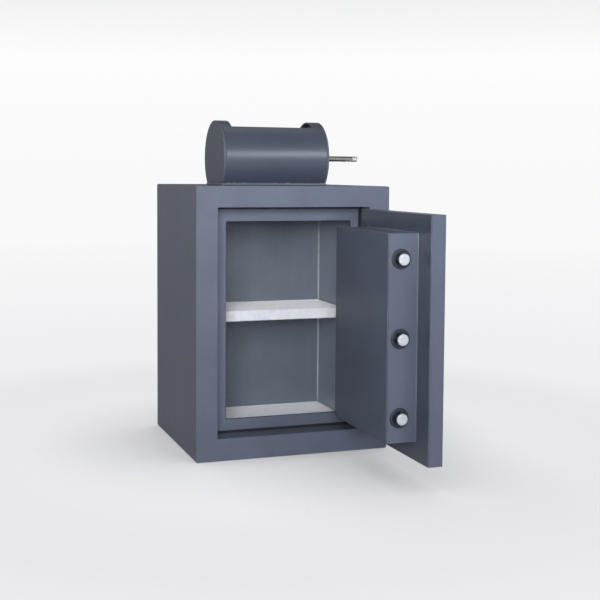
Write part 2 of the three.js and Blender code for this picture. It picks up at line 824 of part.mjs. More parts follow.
// Locking bolts, collars and carrier, withdrawn
function boltCollar(z) {
  const face = box.left - collarFlange;
  const bore = boltRadius + runningGap;
  const seat = box.left - seatGap;
  return turned([
    [bore, face], [collarRadius - collarBevel, face], [collarRadius, face + collarBevel],
    [collarRadius, seat], [sleeveRadius, seat], [sleeveRadius, sleeveEnd], [bore, sleeveEnd],
  ], 'x', [0, boltY, z]);
}

function lockingBolt(z) {
  const shoulder = carrierLeft - seatGap;
  return turned([
    [0, boltTip], [boltRadius - boltChamfer, boltTip], [boltRadius, boltTip + boltChamfer],
    [boltRadius, shoulder], [spigotRadius, shoulder], [spigotRadius, carrierRight], [0, carrierRight],
  ], 'x', [0, boltY, z]);
}

function carrierBar() {
  const front = boltY - carrierWidth / 2;
  const plate = block(carrierLeft, carrierRight, front, front + carrierWidth, carrierBottom, carrierTop);
  const holes = Object.values(boltHeights).map((z) => bar(spigotRadius + seatGap, carrierLeft - overrun,
    carrierRight + overrun, 'x', [0, boltY, z]));
  return cut(plate, ...holes);
}

function carrierTail() {
  const { x, halfWidth, top, bottom } = crankSlot;
  const plate = rectangle(carrierRight + seatGap, dogMiddle + dogRootWidth / 2, tailBottom, tailTop);
  const slot = rectangle(x - halfWidth, x + halfWidth, bottom, top, halfWidth / 2);
  return cut(alongY(plate, tailFront, tailBack), alongY(slot, tailFront - overrun, tailBack + overrun));
}

// The dog hangs down to the lock's cam, right of it when the bolts are withdrawn and left when thrown
function lockDog() {
  const foot = dogWidth / 2;
  const root = dogRootWidth / 2;
  const shoulder = lockHeight + camRadius + camPlay;
  const top = tailBottom - seatGap;
  return alongY(polygon([
    [dogMiddle - foot, dogFoot], [dogMiddle + foot, dogFoot], [dogMiddle + foot, shoulder],
    [dogMiddle + root, shoulder + root], [dogMiddle + root, top], [dogMiddle - root, top],
    [dogMiddle - root, shoulder + root], [dogMiddle - foot, shoulder],
  ]), tailFront, tailBack);
}

function carrierGuide(end) {
  const left = carrierLeft - boltTravel - carrierClearance / 2;
  const right = carrierRight + carrierClearance / 2;
  const front = boltY - carrierWidth / 2 - runningGap;
  const back = boltY + carrierWidth / 2 + runningGap;
  const inner = end > 0 ? carrierTop - guideLap : carrierBottom + guideLap;
  const stop = end > 0 ? carrierTop + runningGap : carrierBottom - runningGap;
  const outer = stop + end * guideWall;
  const channel = polygon([
    [boxFront, inner], [front, inner], [front, stop], [back, stop], [back, inner],
    [back + guideWall, inner], [back + guideWall, outer], [boxFront, outer],
  ]);
  return alongX(channel, left, right);
}

// Handle, with its group's origin on the spindle's axis and its crank hanging straight down
function handleRose() {
  const face = slabFront - seatGap - roseHeight;
  const bore = spindleRadius + runningGap;
  return turned([
    [bore, face], [roseRadius - roseEdge, face], [roseRadius, face + roseEdge],
    [roseRadius, slabFront - seatGap], [bore, slabFront - seatGap],
  ], 'y', [spindleX, 0, spindleHeight]);
}

const hubBack = slabFront - seatGap - roseHeight - seatGap;
const hubFront = hubBack - hubLength;

function leverHandle() {
  const hub = turned([
    [0, hubFront], [hubRadius - leverBevel, hubFront], [hubRadius, hubFront + leverBevel],
    [hubRadius, hubBack], [spindleRadius + seatGap, hubBack],
    [spindleRadius + seatGap, hubBack - hubBore], [0, hubBack - hubBore],
  ], 'y', [0, 0, 0]);
  const root = leverRootWidth / 2 - leverBevel;
  const tip = leverTipWidth / 2 - leverBevel;
  const shape = new THREE.Shape();
  shape.moveTo(0, -root);
  shape.lineTo(0, root);
  shape.lineTo(-leverLength + tip, tip);
  shape.absarc(-leverLength + tip, 0, tip, Math.PI / 2, Math.PI * 1.5);
  shape.closePath();
  const depth = leverThickness - 2 * leverBevel;
  const arm = new THREE.ExtrudeGeometry(shape, {
    depth, bevelThickness: leverBevel, bevelSize: leverBevel, bevelSegments: 2, curveSegments: 6,
  });
  arm.rotateX(Math.PI / 2).translate(0, hubFront + leverThickness, 0);
  const bore = bar(spindleRadius + seatGap, hubBack - hubBore, hubBack + overrun, 'y', [0, 0, 0]);
  return cut(join(hub, solid(arm)), bore);
}

function handleSpindle() {
  return bar(spindleRadius, hubBack - hubBore + seatGap, crankBack, 'y', [0, 0, 0]);
}

function crankArm() {
  const eye = crankPinRadius + crankEyeWall;
  const boss = bar(crankBoss, crankFront, crankBack, 'y', [0, 0, 0]);
  const end = bar(eye, crankFront, crankBack, 'y', [0, 0, -crankRadius]);
  const web = block(-eye, eye, crankFront, crankBack, -crankRadius, 0);
  const pin = bar(crankPinRadius, crankFront, tailBack + tailFromCrank, 'y', [0, 0, -crankRadius]);
  const bore = bar(spindleRadius + seatGap, crankFront - overrun, crankBack + overrun, 'y', [0, 0, 0]);
  return cut(join(boss, web, end, pin), bore);
}

// Lock
function lockEscutcheon() {
  const face = slabFront - seatGap - escutcheonHeight;
  const bore = plugRadius + runningGap;
  return turned([
    [bore, face], [escutcheonRadius - escutcheonEdge, face], [escutcheonRadius, face + escutcheonEdge],
    [escutcheonRadius, slabFront - seatGap], [bore, slabFront - seatGap],
  ], 'y', [lockX, 0, lockHeight]);
}

function lockCase() {
  const back = camShoulder - caseToCam;
  const body = block(lockX - caseWidth / 2, lockX + caseWidth / 2, boxFront, back,
    lockHeight - caseHeight / 2, lockHeight + caseHeight / 2);
  const bore = bar(plugRadius + runningGap, boxFront - overrun, back + overrun, 'y', [lockX, 0, lockHeight]);
  return cut(body, bore);
}

// The plug's group has its origin on the plug's axis
function lockPlug() {
  const face = slabFront - plugProud;
  const barrel = bar(plugRadius, face, camShoulder, 'y', [0, 0, 0], shaftChamfer / 2);
  const bore = bar(camScrewRadius + seatGap, camShoulder - camScrewDepth - seatGap, camShoulder + overrun,
    'y', [0, 0, 0]);
  const slot = block(-keySlotWidth / 2, keySlotWidth / 2, face - overrun, face + keySlotDepth,
    -keySlotHeight / 2, keySlotHeight / 2);
  return cut(barrel, bore, slot);
}

// A disc with one flat: flat up, the dog slides over it; a quarter turn on, its rim stands in the dog's way
function lockCam() {
  const disc = bar(camRadius, tailFront, tailBack, 'y', [0, 0, 0]);
  const above = block(-camRadius - overrun, camRadius + overrun, tailFront - overrun, tailBack + overrun,
    camFlat, camRadius + overrun);
  const bore = bar(camScrewRadius + seatGap, tailFront - overrun, tailBack + overrun, 'y', [0, 0, 0]);
  return cut(disc, above, bore);
}

function camScrew() {
  const tip = camShoulder - camScrewDepth;
  const under = tailBack + seatGap;
  const top = under + camHeadHeight;
  return turned([
    [0, tip], [camScrewRadius, tip], [camScrewRadius, under], [camHeadRadius, under], [camHeadRadius, top],
    [0, top],
  ], 'y', [0, 0, 0], smallSides);
}

// Assembly
const safe = new THREE.Group();

function buildBody() {
  place(safe, 'body_shell', bodyShell(), paint);
  place(safe, 'back_panel', backPanel(), paint);
  place(safe, 'front_frame', frontFrame(), paint);
  place(safe, 'bolt_frame', boltFrame(), paint);
  place(safe, 'fire_seal', fireSeal(), darkRubber);
  place(safe, 'insulation', insulation(), fireFill);
  place(safe, 'cavity_liner', cavityLiner(), liningPaint);
  place(safe, 'floor_mat', floorMat(), paleFelt);
  place(safe, 'shelf_board', shelfBoard(), plainSteel);
  place(safe, 'shelf_cover', shelfCoverSkin(), paleFelt);
  place(safe, 'shelf_ledge_left', shelfLedge(-1), liningPaint);
  place(safe, 'shelf_ledge_right', shelfLedge(1), liningPaint);
}

function buildDrum() {
  place(safe, 'drum_flange', drumFlange(), paint);
  place(safe, 'drum_housing', drumHousing(), paint);
  place(safe, 'drum_end_left', drumEndPlate(drumLeft, 0), paint);
  place(safe, 'drum_end_right', drumEndPlate(drumRight - drumEnd, bushRadius + seatGap), paint);
  place(safe, 'bearing_cup_left', bearingCup(), plainSteel);
  place(safe, 'shaft_bush_right', shaftBush(), brass);
  place(safe, 'drum_rotor', drumRotor(), paint);
  place(safe, 'drum_shaft', drumShaft(), brightSteel);
  place(safe, 'chute_liner', chuteLiner(), liningPaint);
  place(safe, 'chute_baffle_front', chuteBaffle(-1), plainSteel);
  place(safe, 'chute_baffle_rear', chuteBaffle(1), plainSteel);
}

function buildHinges(door) {
  ['lower', 'upper'].forEach((name, i) => {
    const height = hingeHeights[i];
    place(safe, `hinge_knuckle_fixed_${name}`, knuckle(height - knuckleHeight, height), paint);
    place(safe, `hinge_pin_${name}`, hingePin(height), plainSteel);
    place(door, `hinge_strap_${name}`, strapKnuckle(height), paint);
  });
}

function buildDoor() {
  const hinge = new THREE.Group();
  hinge.position.set(pinX, pinY, 0);
  hinge.rotation.z = THREE.MathUtils.degToRad(doorOpen);
  safe.add(hinge);
  const door = new THREE.Group();
  door.position.set(-pinX, -pinY, 0);
  hinge.add(door);

  place(door, 'door_pan', doorPan(), paint);
  place(door, 'door_fill', doorFill(), fireFill);
  place(door, 'door_inner_plate', doorInnerPlate(), paint);
  place(door, 'bolt_box', boltBox(), paint);
  place(door, 'bolt_box_cover', boxCover(), paint);
  coverScrewPlaces().forEach((spot, i) => {
    place(door, `cover_screw_${i + 1}`, coverScrew(spot), brightSteel);
  });
  place(door, 'dead_bar', deadBar(), plainSteel);
  place(door, 'carrier_guide_lower', carrierGuide(-1), plainSteel);
  place(door, 'carrier_guide_upper', carrierGuide(1), plainSteel);
  place(door, 'handle_rose', handleRose(), castMetal);
  place(door, 'lock_escutcheon', lockEscutcheon(), castMetal);
  place(door, 'lock_case', lockCase(), plainSteel);
  return door;
}

function buildBoltwork(door) {
  for (const [name, z] of Object.entries(boltHeights)) {
    place(door, `bolt_collar_${name}`, boltCollar(z), plainSteel);
    place(door, `locking_bolt_${name}`, lockingBolt(z), brightSteel);
  }
  place(door, 'carrier_bar', carrierBar(), plainSteel);
  place(door, 'carrier_tail', carrierTail(), plainSteel);
  place(door, 'lock_dog', lockDog(), plainSteel);
}

function buildHandle(door) {
  const handle = new THREE.Group();
  handle.position.set(spindleX, 0, spindleHeight);
  handle.rotation.y = -halfTurn;
  door.add(handle);
  place(handle, 'handle_spindle', handleSpindle(), plainSteel);
  place(handle, 'crank_arm', crankArm(), plainSteel);
  const lever = new THREE.Group();
  lever.rotation.y = -halfTurn;
  handle.add(lever);
  place(lever, 'lever_handle', leverHandle(), castMetal);
  const plug = new THREE.Group();
  plug.position.set(lockX, 0, lockHeight);
  door.add(plug);
  place(plug, 'lock_plug', lockPlug(), brass);
  place(plug, 'lock_cam', lockCam(), plainSteel);
  place(plug, 'cam_screw', camScrew(), plainSteel);
}

buildBody();
buildDrum();
const door = buildDoor();
buildHinges(door);
buildBoltwork(door);
buildHandle(door);

export default safe;
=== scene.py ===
"""The looks of a steel drop safe with a rotary deposit drum on its top."""

import json
import math
import random

import bmesh
import bpy
from mathutils import Matrix, Vector, noise

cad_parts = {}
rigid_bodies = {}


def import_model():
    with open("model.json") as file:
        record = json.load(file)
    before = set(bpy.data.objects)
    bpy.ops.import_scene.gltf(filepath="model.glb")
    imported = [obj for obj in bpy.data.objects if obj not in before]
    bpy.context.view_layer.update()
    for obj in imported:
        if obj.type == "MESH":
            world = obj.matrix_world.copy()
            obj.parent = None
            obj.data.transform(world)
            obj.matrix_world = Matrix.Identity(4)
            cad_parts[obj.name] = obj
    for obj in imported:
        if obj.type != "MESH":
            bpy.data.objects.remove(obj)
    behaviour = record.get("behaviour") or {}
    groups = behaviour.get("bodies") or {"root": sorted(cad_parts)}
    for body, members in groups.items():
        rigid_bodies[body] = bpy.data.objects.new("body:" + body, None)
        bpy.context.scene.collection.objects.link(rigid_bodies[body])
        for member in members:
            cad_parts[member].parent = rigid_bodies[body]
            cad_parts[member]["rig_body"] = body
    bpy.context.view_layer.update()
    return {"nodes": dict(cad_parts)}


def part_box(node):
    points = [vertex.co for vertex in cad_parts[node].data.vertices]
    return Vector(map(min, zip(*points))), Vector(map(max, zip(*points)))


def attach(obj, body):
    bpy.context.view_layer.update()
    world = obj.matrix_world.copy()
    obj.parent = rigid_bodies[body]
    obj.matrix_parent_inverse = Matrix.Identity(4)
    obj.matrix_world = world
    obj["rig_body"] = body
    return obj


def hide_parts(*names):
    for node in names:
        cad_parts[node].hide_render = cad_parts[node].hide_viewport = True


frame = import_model()

MM = 0.001
SEED = 7

# Camera: place in metres, angles in degrees, sensor and lens in millimetres
CAMERA_PLACE = (-0.9513, -2.9241, 0.7319)
CAMERA_YAW = 19.66
CAMERA_PITCH = 3.92
CAMERA_ROLL = 0.40
CAMERA_SENSOR = 36.0
CAMERA_LENS = 66.87
CAMERA_SHIFT_Y = -0.0833
CAMERA_NEAR = 0.05
CAMERA_FAR = 100

# Finishes, as sRGB colours
SLATE = (99, 106, 123)
SLATE_DARK = (92, 99, 115)
SLATE_DRUM = (69, 75, 89)
# the drum's slate made paler for its end discs: painted light
SLATE_DISC_PAINTED_LIGHTER = (85, 91, 106)
# the door's slate made darker for its inner plate: painted shade
SLATE_PLATE_PAINTED_SHADE = (78, 84, 99)
# paler slate on rounded edges: chips of wear, and a painted highlight
EDGE_WEAR_AND_HIGHLIGHT = (150, 156, 172)
DUST = (176, 182, 194)
LINING = (111, 119, 131)
FILLER = (186, 190, 196)
FELT = (250, 252, 255)
FELT_SHADE = (233, 238, 246)
BRIGHT_STEEL = (214, 216, 221)
PLAIN_STEEL = (150, 153, 158)
SHAFT_STEEL = (228, 226, 223)
SCREW_STEEL = (128, 131, 138)
SPATTER_STEEL = (168, 172, 182)
DARK_METAL = (58, 61, 68)
COLLAR = (62, 67, 79)
BOLT_SIDE = (118, 121, 128)
BOLT_END = (232, 234, 240)
BRASS = (186, 152, 88)
SEAL = (34, 36, 42)
FIRE_FILL = (188, 182, 170)

# Edges, with angles in degrees, and the sides of turned pieces
EDGE_ANGLE = 32
EDGE_SEGMENTS = 2
SMOOTH_ANGLE = 28
LATHE_SIDES = 48

# Floor: the colour that the lamps light, and its own glow at distances in metres from the middle, dimmer
# near the middle as painted shade round the object
FLOOR_HALF_SIDE = 60.0
FLOOR_DROP = 0.5 * MM
FLOOR = (212, 212, 214)
# dimmer near the middle than far off: painted shade round the object
FLOOR_GLOW = (
    (0.5, (218, 218, 220)),
    (1.4, (239, 238, 240)),
    (3.5, (243, 242, 244)),
    (9.0, (249, 249, 249)),
)
FLOOR_GLOW_REACH = 10.0

# The share of the lamp-lit surface that shows near the object, and the distances where it fades away
FLOOR_LIT_SHARE = 0.5
FLOOR_LIT_FADE = (0.45, 1.15)

# Shade in the glow close to the object: how far it reaches, and the share of glow that it leaves
SHADE_REACH = 0.42
SHADE_LEAST = 0.22

# Backdrop by the height of the direction seen, and the shares of floor and backdrop in reflections
BACKDROP = (
    (0.0, (249, 249, 249)),
    (0.1, (253, 253, 253)),
    (0.3, (200, 201, 205)),
    (0.75, (110, 112, 118)),
)
FLOOR_GLOSS_SHARE = 0.18
BACKDROP_GLOSS_SHARE = 0.32
WORLD_COLOUR = (0.93, 0.95, 1.0, 1)
WORLD_LIGHT = 0.19

COOL = (0.96, 0.975, 1.0)
BLUE = (0.8, 0.87, 1.0)
WARM = (1, 0.99, 0.97)
WHITE = (1, 1, 1)
LAMPS = (
    # name, place, target, size, power in watts, spread in degrees, colour
    ("camera softbox", (-1.45, -3.7, 1.12), (0, -0.2, 1.3), (1.2, 0.8), 11.9, 62, COOL),
    ("upper softbox", (-0.75, -2.25, 1.35), (0, -0.2, 1.0), (0.9, 0.5), 4.6, 90, COOL),
    ("low softbox", (-0.7, -3.0, 0.85), (-0.05, 0, 0.3), (0.8, 0.5), 0.84, 50, COOL),
    ("right softbox", (1.72, -4.45, 1.75), (0, -0.17, 0.77), (1.3, 0.8), 30, 180, BLUE),
)
SIDE_LAMPS = (
    # these light the object alone, not the floor
    ("top panel", (0.1, 0.35, 2.9), (0.1, 0.3, 0.7), (1.6, 1.2), 2.4, 180, WHITE),
    ("left fill", (-3.0, 1.4, 1.1), (-0.2, 0, 0.8), (1.6, 0.8), 2.7, 110, WARM),
    ("rear softbox", (2.0, 3.0, 0.36), (0.1, 0.2, 0.36), (3.4, 0.66), 62, 180, WHITE),
    ("door side softbox", (3.2, 0.1, 0.36), (0.2, -0.1, 0.36), (3.2, 0.66), 44, 180, WHITE),
)


# Colours

def linear(srgb):
    """An sRGB colour of 0 to 255 as a linear RGBA tuple."""
    out = []
    for value in srgb:
        v = value / 255
        out.append(v / 12.92 if v <= 0.04045 else ((v + 0.055) / 1.055) ** 2.4)
    return (*out, 1.0)


def toned(colour, factor):
    """A darker or paler tone of an sRGB colour."""
    return [min(255, c * factor) for c in colour]


# Materials

MASK_OFF = (0, 0, 0, 1)
MASK_ON = (1, 1, 1, 1)

# Shares that are mixed in, and tones as factors of a colour
FINE_TONE_SHARE = 0.06
# how far rounded edges are made paler: a painted highlight
PAINTED_EDGE_HIGHLIGHT = 0.22
STRAND_SHARE = 0.4
# how much paler faces that look to the left are made: painted light on that side
PAINTED_SIDE_LIGHT_TONE = 1.5
DULL_TONE = 0.86
GRAIN_CONTRAST = 0.18

# How a roughness varies: by these factors, between these values, and by these offsets
GLOSS_SWING = (0.94, 1.08)
WORN_ROUGHNESS = (0.32, 0.5)
LINE_SWING = (-0.09, 0.22)
RING_SWING = (-0.06, 0.08)


class Nodes:
    """Short ways to add and link the nodes of one shader tree."""

    def __init__(self, tree):
        self.tree = tree
        tree.nodes.clear()

    def add(self, kind, inputs=None, **settings):
        """A node with its settings made and each input linked or set."""
        node = self.tree.nodes.new(kind)
        for key, value in settings.items():
            setattr(node, key, value)
        for key, value in (inputs or {}).items():
            if isinstance(value, bpy.types.NodeSocket):
                self.tree.links.new(value, node.inputs[key])
            else:
                node.inputs[key].default_value = value
        return node

    def coordinates(self, kind="Object"):
        return self.add("ShaderNodeTexCoord").outputs[kind]

    def stretched(self, vector, scale):
        return self.add("ShaderNodeMapping", {"Vector": vector, "Scale": scale}).outputs["Vector"]

    def noise(self, vector, scale, detail, roughness=0.5):
        inputs = {"Vector": vector, "Scale": scale, "Detail": detail, "Roughness": roughness}
        return self.add("ShaderNodeTexNoise", inputs).outputs

    def mix(self, factor, a, b, blend="MIX"):
        inputs = {"Factor": factor, "A": a, "B": b}
        node = self.add("ShaderNodeMix", inputs, data_type="RGBA", blend_type=blend)
        return node.outputs["Result"]

    def math(self, operation, *values):
        return self.add("ShaderNodeMath", dict(enumerate(values)), operation=operation).outputs[0]

    def ramp(self, value, stops):
        """Colour by value, through stops of (position, linear colour)."""
        node = self.add("ShaderNodeValToRGB", {"Fac": value})
        elements = node.color_ramp.elements
        while len(elements) < len(stops):
            elements.new(0.5)
        for element, (position, colour) in zip(elements, stops):
            element.position = position
            element.color = colour
        return node.outputs["Color"]

    def remap(self, value, low, high, source=(0.0, 1.0), interpolation="LINEAR"):
        """A value of the source range carried over to low and high, and held at its ends."""
        inputs = {
            "Value": value,
            "From Min": source[0],
            "From Max": source[1],
            "To Min": low,
            "To Max": high,
        }
        node = self.add("ShaderNodeMapRange", inputs, interpolation_type=interpolation)
        return node.outputs["Result"]

    def bump(self, height, strength, distance):
        inputs = {"Strength": strength, "Distance": distance, "Height": height}
        return self.add("ShaderNodeBump", inputs).outputs["Normal"]

    def surface(self, inputs):
        """The principled surface on the material's output."""
        shader = self.add("ShaderNodeBsdfPrincipled", inputs)
        self.add("ShaderNodeOutputMaterial", {"Surface": shader.outputs["BSDF"]})


def new_material(name):
    material = bpy.data.materials.new(name)
    material.use_nodes = True
    return material, Nodes(material.node_tree)


def enamel(name, colour, shade, roughness, peel, specular=0.55, scale=1.0, painted_side_light=0.0, runs=0.0):
    """Sprayed enamel: soft mottling, fine dust, orange peel and a little swing in its gloss.

    runs adds faint upright streaks, and a side tint pales the faces that look to the left: painted light
    on those faces."""
    material, n = new_material(name)
    place = n.coordinates()
    cloud = n.noise(place, scale=9 * scale, detail=4.0, roughness=0.55)["Fac"]
    fine = n.noise(place, scale=900 * scale, detail=2.0, roughness=0.6)["Color"]
    pimples = n.noise(place, scale=420 * scale, detail=2.0, roughness=0.45)["Fac"]
    specks = n.add("ShaderNodeTexVoronoi", {"Vector": place, "Scale": 55 * scale})
    base = n.ramp(cloud, [(0.32, linear(shade)), (0.68, linear(colour))])
    dust = n.ramp(specks.outputs["Distance"], [(0.0, MASK_ON), (0.035, MASK_OFF)])
    dusty = n.mix(dust, base, linear(DUST))
    shown = n.mix(FINE_TONE_SHARE, dusty, fine, blend="OVERLAY")
    if runs:
        tall = n.stretched(place, scale=(75.0, 75.0, 5.0))
        streaks = n.noise(tall, scale=1.0, detail=4.0, roughness=0.6)
        grey = n.add("ShaderNodeRGBToBW", {"Color": streaks["Color"]}).outputs["Val"]
        shown = n.mix(runs, shown, grey, blend="OVERLAY")
    # painted light: faces that look to the left are made paler, as if lit from that side
    if painted_side_light:
        facing = n.add("ShaderNodeSeparateXYZ", {"Vector": n.coordinates("Normal")})
        left = n.remap(n.math("MULTIPLY", facing.outputs["X"], -painted_side_light), 0.0, 1.0)
        shown = n.mix(left, shown, linear(toned(colour, PAINTED_SIDE_LIGHT_TONE)))
    glossy, dull = (roughness * swing for swing in GLOSS_SWING)
    n.surface({
        "Base Color": shown,
        "Roughness": n.remap(cloud, glossy, dull),
        "Specular IOR Level": specular,
        "Normal": n.bump(pimples, strength=peel, distance=0.4 * MM),
    })
    return material


def worn_and_highlit_edge(name, colour, wear_and_highlight):
    """Enamel over a rounded edge: paint made paler in patches as a painted edge highlight, with small
    chips of wear.
    """
    material, n = new_material(name)
    place = n.coordinates()
    edge_highlight_patches = n.noise(place, scale=22.0, detail=5.0, roughness=0.7)["Fac"]
    chips = n.noise(place, scale=260.0, detail=3.0, roughness=0.6)["Fac"]
    pale = [c + (w - c) * PAINTED_EDGE_HIGHLIGHT for c, w in zip(colour, wear_and_highlight)]
    base = n.ramp(edge_highlight_patches, [(0.35, linear(colour)), (0.7, linear(pale))])
    chipped = n.ramp(chips, [(0.62, MASK_OFF), (0.7, MASK_ON)])
    n.surface({
        "Base Color": n.mix(chipped, base, linear(wear_and_highlight)),
        "Roughness": n.remap(chips, *WORN_ROUGHNESS),
        "Normal": n.bump(chips, strength=0.3, distance=0.3 * MM),
    })
    return material


def metal(name, colour, roughness, grain, strength=0.15, metallic=1.0):
    """Bare metal with dull patches and fine lines, closer together along an axis with more grain."""
    material, n = new_material(name)
    place = n.coordinates()
    packed = n.stretched(place, scale=tuple(60.0 * g for g in grain))
    lines = n.noise(packed, scale=9.0, detail=5.0, roughness=0.7)["Fac"]
    patches = n.noise(place, scale=60.0, detail=3.0)["Fac"]
    offset, swing = LINE_SWING
    n.surface({
        "Base Color": n.ramp(patches, [(0.3, linear(toned(colour, DULL_TONE))), (0.7, linear(colour))]),
        "Metallic": metallic,
        "Roughness": n.math("MULTIPLY_ADD", lines, swing, roughness + offset),
        "Normal": n.bump(lines, strength=strength, distance=0.2 * MM),
    })
    return material


def turned_steel(name, colour, roughness, metallic=1.0):
    """Steel turned in a lathe: rings round the piece's own Y axis."""
    material, n = new_material(name)
    generated = n.coordinates("Generated")
    centred = n.add("ShaderNodeVectorMath", {0: generated, 1: (0.5, 0.5, 0.5)}, operation="SUBTRACT")
    rings = n.add(
        "ShaderNodeTexWave",
        {"Vector": centred.outputs["Vector"], "Scale": 14.0, "Distortion": 0.6, "Detail": 2.0},
        wave_type="RINGS",
        rings_direction="Y",
    ).outputs["Fac"]
    spots = n.noise(generated, scale=7.0, detail=4.0)["Fac"]
    glossy, dull = (roughness + swing for swing in RING_SWING)
    n.surface({
        "Base Color": n.ramp(spots, [(0.35, linear(toned(colour, DULL_TONE))), (0.65, linear(colour))]),
        "Metallic": metallic,
        "Roughness": n.remap(rings, glossy, dull),
        "Normal": n.bump(rings, strength=0.12, distance=0.2 * MM),
    })
    return material


def felt(name, colour, shade):
    """Pale flocked felt: matted fibres, thin patches and a soft sheen."""
    material, n = new_material(name)
    place = n.coordinates()
    matting = n.noise(place, scale=38.0, detail=8.0, roughness=0.75)["Fac"]
    long = n.stretched(place, scale=(220.0, 900.0, 900.0))
    strands = n.noise(long, scale=1.0, detail=5.0, roughness=0.75)
    base = n.ramp(matting, [(0.36, linear(shade)), (0.56, linear(colour))])
    n.surface({
        "Base Color": n.mix(STRAND_SHARE, base, strands["Color"], blend="SOFT_LIGHT"),
        "Roughness": 0.95,
        "Specular IOR Level": 0.2,
        "Sheen Weight": 1.0,
        "Sheen Roughness": 0.5,
        "Normal": n.bump(strands["Fac"], strength=0.8, distance=1.0 * MM),
    })
    return material


def grainy(name, colour, roughness, scale=160.0, strength=0.4):
    """A dull material with a grain, for rubber, weld grains and cast fill."""
    material, n = new_material(name)
    grain = n.noise(n.coordinates(), scale=scale, detail=5.0, roughness=0.7)["Fac"]
    dark, pale = toned(colour, 1 - GRAIN_CONTRAST), toned(colour, 1 + GRAIN_CONTRAST)
    n.surface({
        "Base Color": n.ramp(grain, [(0.3, linear(dark)), (0.7, linear(pale))]),
        "Roughness": roughness,
        "Specular IOR Level": 0.35,
        "Normal": n.bump(grain, strength=strength, distance=0.5 * MM),
    })
    return material


slate = enamel("slate enamel", SLATE, SLATE_DARK, roughness=0.42, peel=0.16)
slate_door = enamel("slate enamel, door", SLATE, SLATE_DARK, roughness=0.3, peel=0.08, specular=0.7)
slate_drum = enamel(
    "slate enamel, drum", SLATE_DRUM, toned(SLATE_DRUM, 0.93),
    roughness=0.31, peel=0.3, specular=1.0,
)
# the drum ends in a paler copy of the drum's enamel: painted light
slate_disc_painted_lighter = enamel(
    "slate enamel, drum ends, painted lighter", SLATE_DISC_PAINTED_LIGHTER, toned(SLATE_DISC_PAINTED_LIGHTER, 0.95),
    roughness=0.46, peel=0.3, specular=0.45,
)
# the door's inner plate in a darker copy of the slate enamel: painted shade
slate_plate_painted_shade = enamel(
    "slate enamel, plate, painted shade", SLATE_PLATE_PAINTED_SHADE, toned(SLATE_PLATE_PAINTED_SHADE, 0.93),
    roughness=0.25, peel=0.08, specular=0.7,
)
slate_cover = enamel(
    "slate enamel, cover", SLATE_DARK, toned(SLATE_DARK, 0.94), roughness=0.42, peel=0.16
)
slate_edge = worn_and_highlit_edge("slate enamel, edges", SLATE, EDGE_WEAR_AND_HIGHLIGHT)
drum_edge = worn_and_highlit_edge("slate enamel, drum edges", SLATE_DRUM, toned(EDGE_WEAR_AND_HIGHLIGHT, 0.9))
# the lining's faces that look to the left are painted paler: painted light
lining = enamel(
    "lining enamel", LINING, toned(LINING, 0.93),
    roughness=0.34, peel=0.2, specular=0.9, painted_side_light=0.5, runs=0.14,
)
filler = enamel("seam filler", FILLER, toned(FILLER, 0.9), roughness=0.5, peel=0.3)
bolt_steel = turned_steel("turned bolt steel", BOLT_SIDE, 0.3)
bolt_end = turned_steel("faced bolt end", BOLT_END, 0.42, metallic=0.25)
shaft_steel = metal("ground shaft steel", SHAFT_STEEL, roughness=0.24, grain=(1, 30, 30), strength=0.08)
plain_steel = metal("plain steel", PLAIN_STEEL, roughness=0.4, grain=(1, 1, 18))
screw_steel = metal("screw steel", SCREW_STEEL, roughness=0.42, grain=(1, 1, 1))
thread_steel = metal("rolled thread steel", BRIGHT_STEEL, roughness=0.4, grain=(1, 1, 1), metallic=0.5)
brass = metal("brass", BRASS, roughness=0.3, grain=(1, 14, 14))
dark_metal = enamel(
    "dark powder coat", DARK_METAL, toned(DARK_METAL, 0.9), roughness=0.45, peel=0.5, scale=2.2
)
collar_metal = enamel(
    "blued collar metal", COLLAR, toned(COLLAR, 0.86), roughness=0.35, peel=0.1, scale=2.0
)
# a darker copy of the collar's colour: painted shade for its groove and rim slope
collar_painted_shade = enamel("collar groove, painted shade", toned(COLLAR, 0.55), toned(COLLAR, 0.5), roughness=0.5, peel=0.1)
seal_rubber = grainy("fire seal", SEAL, roughness=0.75)
fire_fill = grainy("cast fire fill", FIRE_FILL, roughness=0.95, scale=70.0, strength=0.8)
spatter_metal = grainy("weld spatter", SPATTER_STEEL, roughness=0.5)
pale_felt = felt("pale felt", FELT, FELT_SHADE)

# the finish of a rounded edge, with painted highlight and chips of wear, by the finish of the faces
# beside it
WORN_AND_HIGHLIT = {
    slate: slate_edge,
    slate_cover: slate_edge,
    slate_door: slate_edge,
    slate_plate_painted_shade: slate_edge,
    slate_drum: drum_edge,
    slate_disc_painted_lighter: drum_edge,
}


# Meshes

def body_of(node):
    return frame["nodes"][node]["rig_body"]


def new_object(name, mesh, material, body):
    obj = bpy.data.objects.new(name, mesh)
    bpy.context.scene.collection.objects.link(obj)
    mesh.materials.clear()
    mesh.materials.append(material)
    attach(obj, body)
    return obj


def mesh_from(name, vertices, faces):
    mesh = bpy.data.meshes.new(name)
    mesh.from_pydata(vertices, [], faces)
    mesh.update()
    return mesh


def face_outwards(mesh):
    bm = bmesh.new()
    bm.from_mesh(mesh)
    bmesh.ops.recalc_face_normals(bm, faces=bm.faces)
    bm.to_mesh(mesh)
    bm.free()


def smooth(mesh, sharp_above=SMOOTH_ANGLE):
    """Smooth shading, apart from edges that turn by more than an angle in degrees."""
    for polygon in mesh.polygons:
        polygon.use_smooth = True
    mesh.set_sharp_from_angle(angle=math.radians(sharp_above))


